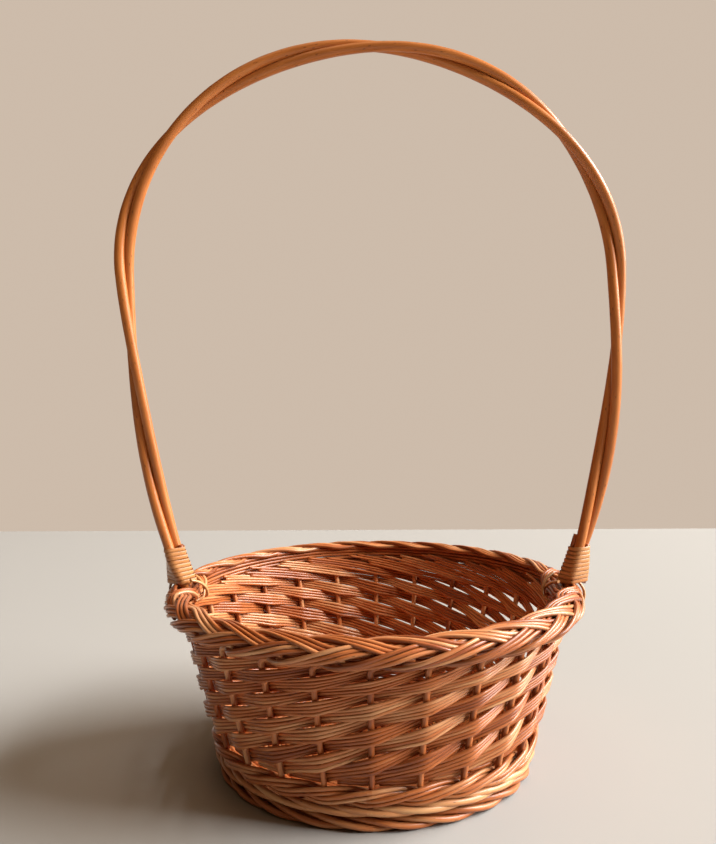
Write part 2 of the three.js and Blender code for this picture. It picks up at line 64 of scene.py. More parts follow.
# A wobble or a swell is a wander's reach and longest wave, and tones are a darkest and a palest rod
Pair = tuple[float, float]

METRES_PER_MM = 0.001
FULL_TURN = 2.0 * math.pi
BODY = "root"

# Each wave of a wander: its share of the reach, and its length as a share of the longest one
WANDER_WAVES: tuple[Pair, ...] = ((0.5, 1.0), (0.3, 0.61), (0.2, 0.37))

# Length added along a rod per unit of its tone, so that no two rods show the same piece of grain
GRAIN_SHIFT = 977.0

# Numbers of the Mix node's colour sockets: its two inputs and its output
MIX_FIRST = 6
MIX_SECOND = 7
MIX_RESULT = 2

UPWARDS = np.array([0.0, 0.0, 1.0])
FRONTWARDS = np.array([0.0, -1.0, 0.0])


# Curves and small maths


def unit(vectors: Array) -> Array:
    """Vectors of length one in the same directions."""
    return vectors / np.linalg.norm(vectors, axis=-1, keepdims=True)


def mix(first: Array | float, second: Array | float, share: Array | float) -> Array:
    """A straight blend: first where share is 0 and second where it is 1."""
    return first + (second - first) * share


def smooth(start: float, end: float, value: Array | float) -> Array:
    """A soft step: 0 before start, 1 after end, and 3t^2 - 2t^3 between them."""
    share = np.clip((value - start) / (end - start), 0.0, 1.0)
    return share * share * (3.0 - 2.0 * share)


def around(angle: Array, radius: Array, height: Array) -> Array:
    """Points from an angle round the basket, a distance from its axis and a height.

    Args:
        angle: Angle from the front towards +X, in radians.
        radius: Distance from the axis.
        height: Height above the table.

    Returns:
        Points x = r sin a, y = -r cos a, z, with one more axis than the inputs.
    """
    angle, radius, height = np.broadcast_arrays(angle, radius, height)
    return np.stack([radius * np.sin(angle), -radius * np.cos(angle), height], axis=-1)


def outwards(angle: Array, away: Array | float, up: Array | float) -> Array:
    """Directions given by their parts away from the axis and upwards."""
    return around(angle, np.asarray(away, float), np.asarray(up, float))


class Hand:
    """The maker's hand: small seeded differences from rod to rod."""

    def __init__(self, seed: int) -> None:
        """Starts a fixed series of differences."""
        self.series = np.random.default_rng(seed)

    def tones(self, count: int, low: float = 0.0, high: float = 1.0) -> Array:
        """How pale each rod is, from 0 for dark to 1 for pale."""
        return self.series.uniform(low, high, count)

    def spread(self, shape: tuple[int, ...], reach: float) -> Array:
        """Even differences of up to reach either way."""
        return self.series.uniform(-reach, reach, shape)

    def wander(self, count: int, along: Array, reach: float, length: float) -> Array:
        """Slow waves along rods, the sum of sines with different lengths and starts.

        Args:
            count: Number of rods.
            along: Distance along the rods, one row for all or one row for each.
            reach: About the greatest departure.
            length: Longest wave, in the units of along.

        Returns:
            Departures with one row for each rod.
        """
        along = np.atleast_2d(along)
        total = np.zeros((count, along.shape[1]))
        for share, shortening in WANDER_WAVES:
            start = self.series.uniform(0.0, FULL_TURN, (count, 1))
            total += share * np.sin(FULL_TURN * along / (length * shortening) + start)
        return reach * total


# Rods, the one kind of surface that the basket is made of


@dataclass
class Rods:
    """A batch of rods with equally many stations, carried along their centre lines.

    Attributes:
        points: Centre lines, rods by stations by 3.
        normals: Direction of the section's thickness at each station.
        wide: Half width across the normal, rods by stations.
        thick: Half thickness along the normal, rods by stations.
        tones: How pale each rod is.
        sides: Number of flats round the section.
        ring: Whether each rod closes on itself.
    """

    points: Array
    normals: Array
    wide: Array
    thick: Array
    tones: Array
    sides: int = 8
    ring: bool = False

    @classmethod
    def plain(
        cls,
        points: Array,
        normals: Array,
        wide: Array | float,
        thick: Array | float,
        tones: Array,
        sides: int = 8,
        ring: bool = False,
    ) -> "Rods":
        """Rods whose normals and sizes may be the same along rods or for all of them.

        Args:
            points: Centre lines, rods by stations by 3.
            normals: Directions that broadcast to the points.
            wide: Half widths that broadcast to rods by stations.
            thick: Half thicknesses that broadcast to rods by stations.
            tones: How pale each rod is.
            sides: Number of flats round the section.
            ring: Whether each rod closes on itself.

        Returns:
            The batch, with every array in full.
        """
        normals = np.broadcast_to(normals, points.shape)
        wide, thick = (np.broadcast_to(size, points.shape[:2]) for size in (wide, thick))
        return cls(points, normals, wide, thick, tones, sides, ring)

    def only(self, rods: list[int]) -> "Rods":
        """The same batch with these rods alone."""
        names = ("points", "normals", "wide", "thick", "tones")
        return replace(self, **{name: getattr(self, name)[rods] for name in names})

    def tangents(self) -> Array:
        """Directions along the rods, from the stations before and after each one.

        Returns:
            Unit vectors, rods by stations by 3.
        """
        if self.ring:
            return unit(np.roll(self.points, -1, axis=1) - np.roll(self.points, 1, axis=1))
        first = 2 * self.points[:, :1] - self.points[:, 1:2]
        last = 2 * self.points[:, -1:] - self.points[:, -2:-1]
        longer = np.concatenate([first, self.points, last], axis=1)
        return unit(longer[:, 2:] - longer[:, :-2])

    def section(self) -> Array:
        """Angles once round the section."""
        return FULL_TURN * np.arange(self.sides) / self.sides

    def skin(self) -> tuple[Array, Array]:
        """The rods' skin and each of its points in the straightened rod.

        A point is centre + across * wide * cos(t) + normal * thick * sin(t), where across is
        the tangent crossed with the normal and t goes once round the section. Its place in the
        straightened rod is (length so far, wide * cos(t), thick * sin(t)).

        Returns:
            Points and places, each rods by stations by sides by 3.
        """
        tangents = self.tangents()
        across = unit(np.cross(tangents, self.normals))
        lifted = np.cross(across, tangents)
        sideways = self.wide[:, :, None] * np.cos(self.section())
        upwards = self.thick[:, :, None] * np.sin(self.section())
        points = (
            self.points[:, :, None, :]
            + across[:, :, None, :] * sideways[..., None]
            + lifted[:, :, None, :] * upwards[..., None]
        )
        strides = np.linalg.norm(np.diff(self.points, axis=1), axis=2)
        run = np.pad(np.cumsum(strides, axis=1), ((0, 0), (1, 0)))
        run = np.broadcast_to((run + GRAIN_SHIFT * self.tones[:, None])[:, :, None], sideways.shape)
        return points, np.stack([run, sideways, upwards], axis=-1)

    def faces(self) -> tuple[Corners, Corners]:
        """Corner numbers of the skin's quads and of the fans that close open ends.

        Returns:
            Quads with four columns and triangles with three. The fans use one middle point for
            each start and then one for each end, numbered after the skin's points.
        """
        count, stations = self.wide.shape
        number = np.arange(count * stations * self.sides).reshape(count, stations, self.sides)
        here = number if self.ring else number[:, :-1]
        there = np.roll(number, -1, axis=1) if self.ring else number[:, 1:]
        corners = [here, there, np.roll(there, -1, axis=2), np.roll(here, -1, axis=2)]
        quads = np.stack(corners, axis=-1).reshape(-1, 4)
        if self.ring:
            return quads, np.zeros((0, 3), int)
        middles = number.size + np.arange(2 * count).reshape(2, count, 1)
        middles = np.broadcast_to(middles, (2, count, self.sides))
        starts = np.stack([middles[0], number[:, 0], np.roll(number[:, 0], -1, axis=1)], -1)
        ends = np.stack([middles[1], np.roll(number[:, -1], -1, axis=1), number[:, -1]], -1)
        return quads, np.concatenate([starts, ends]).reshape(-1, 3)

    def surface(self) -> tuple[Array, Array, Array, Array, Corners, Corners]:
        """Everything that a mesh needs from this batch.

        A point's groove is cos(t)^2: 1 at the edges, where rods side by side meet, and 0 between. It
        masks the painted shade in the grooves between rods.

        Returns:
            Points, places in the straightened rod, tones, grooves, quads and triangles.
        """
        points, places = self.skin()
        quads, triangles = self.faces()
        tones = np.broadcast_to(self.tones[:, None, None], points.shape[:3]).reshape(-1)
        grooves = np.broadcast_to(np.cos(self.section()) ** 2, points.shape[:3]).reshape(-1)
        points = points.reshape(-1, 3)
        places = places.reshape(-1, 3)
        if not self.ring:
            ends = np.concatenate([self.points[:, 0], self.points[:, -1]])
            end_tones = np.tile(self.tones, 2)
            run = np.zeros((len(ends), 3))
            run[:, 0] = GRAIN_SHIFT * end_tones
            points = np.concatenate([points, ends])
            places = np.concatenate([places, run])
            tones = np.concatenate([tones, end_tones])
            grooves = np.concatenate([grooves, np.zeros(len(ends))])
        return points, places, tones, grooves, quads, triangles


# Finishes


class Wire:
    """A shader socket that takes part in Python expressions on values."""

    def __init__(self, nodes: "Nodes", socket: bpy.types.NodeSocket) -> None:
        """Wraps one output socket of a node tree."""
        self.nodes = nodes
        self.socket = socket

    def __add__(self, other: "Wire | float") -> "Wire":
        """The sum of two values."""
        return self.nodes.value("ADD", self, other)

    def __radd__(self, other: float) -> "Wire":
        """The sum, with the number on the left."""
        return self.nodes.value("ADD", other, self)

    def __sub__(self, other: "Wire | float") -> "Wire":
        """The difference of two values."""
        return self.nodes.value("SUBTRACT", self, other)

    def __rsub__(self, other: float) -> "Wire":
        """The difference, with the number on the left."""
        return self.nodes.value("SUBTRACT", other, self)

    def __mul__(self, other: "Wire | float") -> "Wire":
        """The product of two values."""
        return self.nodes.value("MULTIPLY", self, other)

    def __rmul__(self, other: float) -> "Wire":
        """The product, with the number on the left."""
        return self.nodes.value("MULTIPLY", other, self)


class Nodes:
    """Builds the node tree of one material or of the world."""

    def __init__(self, owner: bpy.types.Material | bpy.types.World) -> None:
        """Opens the owner's node tree, with the nodes that it starts with."""
        owner.use_nodes = True
        self.tree = owner.node_tree

    def add(
        self,
        kind: str,
        settings: dict[str, object],
        inputs: dict[str | int, object],
        output: str | int,
    ) -> Wire:
        """Adds any node.

        Args:
            kind: Node type.
            settings: Properties, set first; "stops" holds a colour ramp's places and colours.
            inputs: Values or wires for its sockets, by name or number.
            output: Name or number of the socket to return.

        Returns:
            The chosen output.
        """
        node = self.tree.nodes.new(kind)
        for key, setting in settings.items():
            if key == "stops":
                self.set_stops(node.color_ramp, setting)
            else:
                setattr(node, key, setting)
        self.fill(node, inputs)
        return Wire(self, node.outputs[output])

    def fill(self, node: bpy.types.Node, inputs: dict[str | int, object]) -> None:
        """Links wires to a node's sockets, or sets plain values on them.

        Args:
            node: The node to fill in.
            inputs: Values or wires for its sockets, by name or number.
        """
        for key, given in inputs.items():
            if isinstance(given, Wire):
                self.tree.links.new(given.socket, node.inputs[key])
            else:
                node.inputs[key].default_value = given

    def set_stops(self, ramp: bpy.types.ColorRamp, stops: list[tuple[float, Colour]]) -> None:
        """Gives a colour ramp these places and colours.

        Args:
            ramp: The ramp, with the two stops that it starts with.
            stops: Places from 0 to 1 in order, each with its colour.
        """
        while len(ramp.elements) < len(stops):
            ramp.elements.new(0.5)
        for element, (place, colour) in zip(ramp.elements, stops):
            element.position = place
            element.color = (*colour, 1.0)

    def value(self, operation: str, first: "Wire | float", second: "Wire | float") -> Wire:
        """One Math node."""
        return self.add("ShaderNodeMath", {"operation": operation}, {0: first, 1: second}, 0)

    def attribute(self, name: str, output: str) -> Wire:
        """One of the piece's own attributes."""
        return self.add("ShaderNodeAttribute", {"attribute_name": name}, {}, output)

    def scaled(self, vector: Wire, scale: Triple) -> Wire:
        """A vector with each part multiplied."""
        settings = {"operation": "MULTIPLY"}
        return self.add("ShaderNodeVectorMath", settings, {0: vector, 1: scale}, 0)

    def noise(self, vector: Wire, detail: float, roughness: float = 0.55) -> Wire:
        """Soft noise at scale 1, about 0.5 on average."""
        inputs = {"Vector": vector, "Scale": 1.0, "Detail": detail, "Roughness": roughness}
        return self.add("ShaderNodeTexNoise", {}, inputs, "Fac")

    def step(self, value: Wire, start: float, end: float) -> Wire:
        """A soft step from 0 at start to 1 at end."""
        inputs = {"Value": value, "From Min": start, "From Max": end}
        return self.add("ShaderNodeMapRange", {"interpolation_type": "SMOOTHSTEP"}, inputs, 0)

    def blend(self, share: Wire, first: Wire, second: Colour) -> Wire:
        """A mix of a varying colour and a plain one."""
        inputs = {0: share, MIX_FIRST: first, MIX_SECOND: (*second, 1.0)}
        return self.add("ShaderNodeMix", {"data_type": "RGBA"}, inputs, MIX_RESULT)

    def show(self, rays: tuple[str, ...], usual: Wire, shown: Wire, output: str) -> None:
        """Shows one shader to some kinds of ray and another to the rest.

        Args:
            rays: The kinds of ray, as Light Path names them.
            usual: The shader for all other rays.
            shown: The shader for these rays.
            output: Name of the tree's output node.
        """
        kinds = [self.add("ShaderNodeLightPath", {}, {}, f"Is {ray} Ray") for ray in rays]
        inputs = {0: sum(kinds[1:], kinds[0]), 1: usual, 2: shown}
        either = self.add("ShaderNodeMixShader", {}, inputs, 0)
        self.fill(self.tree.nodes[output], {"Surface": either})


@dataclass(frozen=True)
class WillowFinish:
    """Varnished willow or cane, lighter and darker from rod to rod and along each rod.

    Attributes:
        name: Material name.
        slot: Name of the material's slot; not used.
        dark: Colour of the darkest rods and patches.
        honey: Usual colour.
        pale: Colour of the palest rods and patches.
        scar: Colour of bud scars and specks, also used for the painted shade in the grooves between
            rods.
        roughness: Average roughness.
        drift: How strongly the colour changes along a rod.
        drift_waves: Waves of that change per millimetre along and across.
        drift_detail: Its finer octaves.
        streak: How strongly the fine grain shows.
        grain: Waves of that grain per millimetre across.
        grain_along: Waves of that grain per millimetre along.
        grain_detail: Its finer octaves.
        scarring: How strongly the specks show.
        scar_waves: Specks per millimetre along and across.
        scar_size: Distances from a speck's middle at which it begins and ends to fade.
        scar_dullness: Roughness added by a speck.
        tone_start: Palette value of the darkest rod.
        tone_reach: Palette value that the palest rod has more.
        gloss: Mirror strength of the bare rod.
        coat: Weight of the varnish.
        coat_roughness: Roughness of the varnish.
        sheen: How strongly the grain changes the roughness.
        bump: How strongly the specks dent the rod.
        bump_depth: Depth of a speck, in metres.
        painted_groove_shade: How dark the painted shade in the grooves between rods is.
    """

    name: str
    slot: str
    dark: Colour
    honey: Colour
    pale: Colour
    # Colour of bud scars and specks, and also of the painted shade in the grooves between rods
    scar: Colour = (0.085, 0.026, 0.009)
    roughness: float = 0.46
    drift: float = 0.9
    drift_waves: Triple = (0.035, 0.25, 0.25)
    drift_detail: float = 2.0
    streak: float = 0.5
    grain: float = 3.4
    grain_along: float = 0.11
    grain_detail: float = 4.0
    scarring: float = 0.6
    scar_waves: Triple = (0.14, 0.5, 0.5)
    scar_size: Pair = (0.05, 0.17)
    scar_dullness: float = 0.12
    tone_start: float = 0.22
    tone_reach: float = 0.56
    gloss: float = 0.25
    coat: float = 0.6
    coat_roughness: float = 0.28
    sheen: float = 0.25
    bump: float = 0.25
    bump_depth: float = 0.0002
    # Strength of the painted shade that darkens the grooves between rods, where they meet
    painted_groove_shade: float = 0.6

    def material(self) -> bpy.types.Material:
        """Builds the material, or finds it where another piece has it already.

        The palette value is tone + drift noise + grain noise. Drift changes over centimetres
        along the rod, grain over fractions of a millimetre across it. Specks come from the
        distance to scattered points, stretched along the rod. Painted shade darkens the edges
        of each rod's section, in the grooves where rods meet.

        Returns:
            The material, which reads the rods' own attributes.
        """
        material = bpy.data.materials.get(self.name)
        if material:
            return material
        material = bpy.data.materials.new(self.name)
        nodes = Nodes(material)
        tone = nodes.attribute("tone", "Fac")
        place = nodes.attribute("rod_place", "Vector")
        groove = nodes.attribute("groove", "Fac")
        drift = nodes.noise(nodes.scaled(place, self.drift_waves), self.drift_detail) - 0.5
        grain_waves = (self.grain_along, self.grain, self.grain)
        grain = nodes.noise(nodes.scaled(place, grain_waves), self.grain_detail) - 0.5
        inputs = {"Vector": nodes.scaled(place, self.scar_waves), "Scale": 1.0}
        near = nodes.add("ShaderNodeTexVoronoi", {}, inputs, "Distance")
        scar = 1.0 - nodes.step(near, *self.scar_size)
        palette = self.tone_start + self.tone_reach * tone
        palette = palette + self.drift * drift + self.streak * grain
        stops = [(0.0, self.dark), (0.5, self.honey), (1.0, self.pale)]
        colour = nodes.add("ShaderNodeValToRGB", {"stops": stops}, {"Fac": palette}, "Color")
        colour = nodes.blend(self.scarring * scar, colour, self.scar)
        # Painted shade: the rods darken towards the scar colour at the edges of their section, where
        # they meet
        colour = nodes.blend(self.painted_groove_shade * groove * groove, colour, self.scar)
        inputs = {"Height": 1.0 - scar, "Strength": self.bump, "Distance": self.bump_depth}
        dented = nodes.add("ShaderNodeBump", {}, inputs, "Normal")
        dressing = {
            "Base Color": colour,
            "Roughness": self.roughness + self.sheen * grain + self.scar_dullness * scar,
            "Normal": dented,
            "Specular IOR Level": self.gloss,
            "Coat Weight": self.coat,
            "Coat Roughness": self.coat_roughness,
        }
        nodes.fill(nodes.tree.nodes["Principled BSDF"], dressing)
        return material


WEAVER_WILLOW = WillowFinish(
    "weaver_willow_rods",
    "weaver_willow",
    dark=(0.18, 0.028, 0.004),
    honey=(0.53, 0.148, 0.034),
    pale=(0.82, 0.455, 0.215),
)
STAKE_WILLOW = WillowFinish(
    "stake_willow_rods",
    "stake_willow",
    dark=(0.20, 0.032, 0.005),
    honey=(0.55, 0.160, 0.040),
    pale=(0.82, 0.460, 0.225),
)
HANDLE_WILLOW = WillowFinish(
    "handle_willow_rods",
    "handle_willow",
    dark=(0.23, 0.056, 0.010),
    honey=(0.55, 0.174, 0.039),
    pale=(0.70, 0.295, 0.085),
    roughness=0.36,
    drift=0.7,
    streak=0.35,
    grain=1.6,
    scarring=0.75,
    coat=0.25,
    sheen=0.0,
    bump=0.1,
    painted_groove_shade=0.0,
)
BASE_WILLOW = WillowFinish(
    "base_willow_rods",
    "base_willow",
    dark=(0.21, 0.036, 0.007),
    honey=(0.55, 0.160, 0.040),
    pale=(0.79, 0.425, 0.185),
)
BINDING_CANE = WillowFinish(
    "binding_cane_strip",
    "binding_cane",
    dark=(0.26, 0.070, 0.015),
    honey=(0.57, 0.240, 0.078),
    pale=(0.78, 0.460, 0.200),
    roughness=0.38,
    drift=0.6,
    scarring=0.3,
)


def make_piece(name: str, batches: list[Rods], finish: WillowFinish, nodes: list[str]) -> None:
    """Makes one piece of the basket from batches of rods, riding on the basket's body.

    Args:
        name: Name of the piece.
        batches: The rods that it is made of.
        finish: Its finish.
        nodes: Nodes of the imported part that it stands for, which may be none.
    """
    columns = list(zip(*(batch.surface() for batch in batches)))
    points, places, tones, grooves = (np.concatenate(column) for column in columns[:4])
    firsts = np.cumsum([0] + [len(part) for part in columns[0]])
    quads, triangles = (
        np.concatenate([part + first for part, first in zip(column, firsts)])
        for column in columns[4:]
    )
    mesh = bpy.data.meshes.new(name)
    mesh.from_pydata((points * METRES_PER_MM).tolist(), [], quads.tolist() + triangles.tolist())
    rounded = np.arange(len(quads) + len(triangles)) < len(quads)
    mesh.polygons.foreach_set("use_smooth", rounded)
    for attribute, kind, key, values in (
        ("rod_place", "FLOAT_VECTOR", "vector", places),
        ("tone", "FLOAT", "value", tones),
        # groove carries the mask of the painted shade in the grooves between rods
        ("groove", "FLOAT", "value", grooves),
    ):
        layer = mesh.attributes.new(attribute, kind, "POINT")
        layer.data.foreach_set(key, values.astype(np.float32).ravel())
    mesh.materials.append(finish.material())
    mesh.update()
    piece = bpy.data.objects.new(name, mesh)
    bpy.context.scene.collection.objects.link(piece)
    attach(piece, BODY)
    if nodes:
        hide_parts(*nodes)
    LOG.info("%s: %d faces, stands for %s", name, len(mesh.polygons), ", ".join(nodes) or "none")


# The basket's own lines


@dataclass(frozen=True)
class Wall:
    """The cone that the stakes stand on, and the levels that pieces share."""

    stakes: int = 24
    floor_radius: float = 83.6
    flare: float = 0.236
    stake_radius: float = 1.5
    base_level: float = 8.75
    tail_start: float = 51.45
    tail_middle: float = 70.0
    bend: float = 6.0
    border_level: float = 91.9
    border_radius: float = 108.86
    border_top: float = 102.0
    turn_depth: float = 4.2
    turn_rise: float = 3.9
    turn_reach: float = 0.2

    @property
    def step(self) -> float:
        """Angle from one stake to the next."""
        return FULL_TURN / self.stakes

    @property
    def handle_stakes(self) -> tuple[int, int]:
        """Numbers of the two stakes that stand in the handle's feet, right and left."""
        return self.stakes // 4, 3 * self.stakes // 4

    @property
    def turn_level(self) -> float:
        """Height at which the stakes have turned over to the right."""
        return self.border_level - self.turn_depth

    def radius(self, height: Array | float) -> Array:
        """Distance of the wall's middle from the axis at a height."""
        return self.floor_radius + self.flare * height

    def spaces(self, stations: int) -> Array:
        """Even places once round the basket, in stake spaces."""
        return self.stakes * np.arange(stations) / stations


@dataclass(frozen=True)
class Roll:
    """The oval roll along the rim that the plait lies on.

    A bearing on it runs from the top, 0, over the outside, a quarter turn, to the bottom.
    """

    centre_radius: float = 106.6
    centre_level: float = 95.0
    reach: float = 7.3
    rise: float = 5.0

    def at(
        self, angle: Array, bearing: Array, scale: Array | float, lift: Array | float
    ) -> tuple[Array, Array]:
        """Points on or near the roll.

        With b the bearing, a point lies scale (reach sin b, rise cos b) from the roll's centre
        and then lift along the oval's normal (sin b / reach, cos b / rise).

        Args:
            angle: Angle round the basket.
            bearing: Bearing on the roll.
            scale: Size as a share of the roll's.
            lift: Distance above it.

        Returns:
            Points and unit normals.
        """
        away, up = np.sin(bearing) / self.reach, np.cos(bearing) / self.rise
        size = np.hypot(away, up)
        away, up = away / size, up / size
        radius = self.centre_radius + scale * self.reach * np.sin(bearing) + lift * away
        level = self.centre_level + scale * self.rise * np.cos(bearing) + lift * up
        return around(angle, radius, level), outwards(angle, away, up)


@dataclass(frozen=True)
class Course:
    """A course of strands, each outside two stakes and inside the third.

    Attributes:
        level: Height of the strands' middle.
        radius: Distance of their middle from the axis.
        swing: Reach in and out.
        lift: Reach up and down.
        rod: Rod radius.
        start: Stake spaces by which the strands are moved round.
        tone: Paleness of the darkest strand.
    """

    level: float
    radius: float
    swing: float
    lift: float
    rod: float
    start: float
    tone: float


@dataclass
class FootBorder:
    """The thick rods under the basket: a rope-like foot and one pale course above it."""

    wall: Wall
    foot_rod: float = 1.7
    foot_radius: float = 84.8
    foot_swing: float = 2.4
    foot_lift: float = 2.0
    foot_tone: float = 0.3
    course_rod: float = 1.75
    course_level: float = 10.9
    course_out: float = 0.9
    course_swing: float = 1.7
    course_lift: float = 1.15
    course_start: float = 0.5
    course_tone: float = 0.85
    tone_spread: float = 0.3
    size_wobble: Pair = (0.1, 8.0)
    strands: int = 3
    stations: int = 216
    sides: int = 10

    def courses(self) -> list[Course]:
        """The sizes of both courses.

        Returns:
            The foot, which rests on the table, and the pale course.
        """
        foot = Course(
            level=self.foot_rod + self.foot_lift,
            radius=self.foot_radius,
            swing=self.foot_swing,
            lift=self.foot_lift,
            rod=self.foot_rod,
            start=0.0,
            tone=self.foot_tone,
        )
        pale = Course(
            level=self.course_level,
            radius=self.wall.radius(self.course_level) + self.course_out,
            swing=self.course_swing,
            lift=self.course_lift,
            rod=self.course_rod,
            start=self.course_start,
            tone=self.course_tone,
        )
        return [foot, pale]

    def rods(self, course: Course, hand: Hand) -> Rods:
        """The strands of one course, in step with the stakes.

        With t going once round in as many stake spaces as there are strands, a strand's radius is
        middle + swing cos(t) and its height level - lift sin(t), so it comes out high and goes
        in low.

        Args:
            course: The course's own sizes.
            hand: Source of small differences.

        Returns:
            The strands as closed rods.
        """
        spaces = self.wall.spaces(self.stations)
        start = np.arange(self.strands)[:, None] + 0.5 + course.start
        turn = FULL_TURN * (spaces + start) / self.strands
        radius = course.radius + course.swing * np.cos(turn)
        level = course.level - course.lift * np.sin(turn)
        angle = spaces * self.wall.step
        size = course.rod + hand.wander(self.strands, spaces, *self.size_wobble)
        tones = hand.tones(self.strands, course.tone, course.tone + self.tone_spread)
        points = around(angle, radius, level)
        return Rods.plain(points, outwards(angle, 1.0, 0.0), size, size, tones, self.sides, True)

    def build(self, hand: Hand) -> None:
        """Makes the foot and the pale course."""
        batches = [self.rods(course, hand) for course in self.courses()]
        make_piece("foot_border_rods", batches, BASE_WILLOW, ["foot_border"])


@dataclass
class Base:
    """Pierced sticks, opened out into twelve arms, and the paired weave around them."""

    wall: Wall
    sticks_each_way: int = 3
    stick_radius: float = 2.0
    stick_stations: int = 41
    stick_tones: Pair = (0.2, 0.6)
    opening: Pair = (9.0, 28.8)
    crossing: float = 0.5
    reach: float = 79.0
    eye_radius: float = 15.0
    weave_reach: float = 78.0
    rod_radius: float = 1.15
    rod_tones: Pair = (0.1, 0.9)
    rod_sides: int = 6
    round_spacing: float = 2.5
    weave_lift: float = 2.3
    weave_sway: float = 0.3
    weave_wobble: Pair = (0.25, 1.4)
    weave_stations: int = 96
    edge_steps: tuple[float, ...] = (0.2, 2.1, 3.6, 0.4, 2.5)
    edge_levels: tuple[float, ...] = (2.5, 2.9, 4.3, -2.4, -2.4)
    edge_out_wobble: Pair = (0.2, 5.0)
    edge_level_wobble: Pair = (0.2, 4.0)
    edge_stations: int = 144

    @property
    def sticks(self) -> int:
        """Number of sticks, each of which makes two arms."""
        return 2 * self.sticks_each_way

    def stick_rods(self, hand: Hand) -> Rods:
        """The sticks, straight where they cross and then opened out to their arms' angles.

        At a distance d along, a stick lies mix(its place in the bundle, |d| tan(arm angle))
        to the side, where the blend is a soft step on |d|.

        Args:
            hand: Source of small differences.

        Returns:
            One rod for each stick.
        """
        arm_step = math.pi / self.sticks
        order = np.arange(self.sticks_each_way) - (self.sticks_each_way - 1) / 2
        order = np.tile(order, 2)[:, None]
        quarter = np.repeat([0.0, 1.0], self.sticks_each_way)[:, None]
        heading = self.wall.step / 2 + quarter * math.pi / 2
        along = np.linspace(-self.reach, self.reach, self.stick_stations)[None, :]
        opened = smooth(*self.opening, np.abs(along))
        fan = np.abs(along) * np.tan(order * arm_step)
        aside = mix(order * 2 * self.stick_radius, fan, opened)
        radius = np.minimum(np.hypot(along, aside), self.reach)
        angle = heading + np.arctan2(aside, along)
        level = self.wall.base_level + (quarter - 0.5) * self.crossing * (1 - opened)
        size = self.stick_radius
        tones = hand.tones(self.sticks, *self.stick_tones)
        return Rods.plain(around(angle, radius, level), UPWARDS, size, size, tones)

    def rounds(self, points: Array, hand: Hand) -> Rods:
        """Closed rods of the weave.

        Args:
            points: Their centre lines, rods by stations by 3.
            hand: Source of small differences.

        Returns:
            The rods, all of one size.
        """
        size = self.rod_radius
        tones = hand.tones(len(points), *self.rod_tones)
        return Rods.plain(points, UPWARDS, size, size, tones, self.rod_sides, True)

    def weave(self, hand: Hand) -> Rods:
        """Rounds of two rods each: one over the first arm and under the next, one the other way.

        A round's height is base + lift cos(n a) for one rod and base - lift cos(n a) for the
        other, where a is the angle from an arm and n half the number of arms, and the sign
        changes from round to round.

        Args:
            hand: Source of small differences.

        Returns:
            The rounds as closed rods.
        """
        radius = np.arange(self.eye_radius, self.weave_reach, self.round_spacing)
        radius = np.repeat(radius, 2)[:, None]
        number = np.arange(len(radius))
        sign = np.where((number + number // 2) % 2, 1.0, -1.0)[:, None]
        angle = self.wall.spaces(self.weave_stations) * self.wall.step
        wave = self.sticks * (angle - self.wall.step / 2)
        level = self.wall.base_level + self.weave_lift * sign * np.cos(wave)
        radius = radius + self.weave_sway * sign * np.sin(wave)
        radius = radius + hand.wander(len(number), angle, *self.weave_wobble)
        return self.rounds(around(angle, radius, level), hand)

    def edge(self, hand: Hand) -> Rods:
        """The last rounds, which lie over and under the stakes' tails and step up at their bend.

        Args:
            hand: Source of small differences.

        Returns:
            Closed rods, each at its own step outwards and its own level.
        """
        spaces = self.wall.spaces(self.edge_stations)
        count = len(self.edge_steps)
        out = hand.wander(count, spaces, *self.edge_out_wobble)
        radius = self.reach + np.array(self.edge_steps)[:, None] + out
        up = hand.wander(count, spaces, *self.edge_level_wobble)
        level = self.wall.base_level + np.array(self.edge_levels)[:, None] + up
        return self.rounds(around(spaces * self.wall.step, radius, level), hand)

    def build(self, hand: Hand) -> None:
        """Makes the cross, and the weave with its edge.

        Args:
            hand: Source of small differences.
        """
        make_piece("base_sticks", [self.stick_rods(hand)], BASE_WILLOW, ["base_cross"])
        rounds = [self.weave(hand), self.edge(hand)]
        make_piece("base_rounds", rounds, BASE_WILLOW, ["base_weave"])


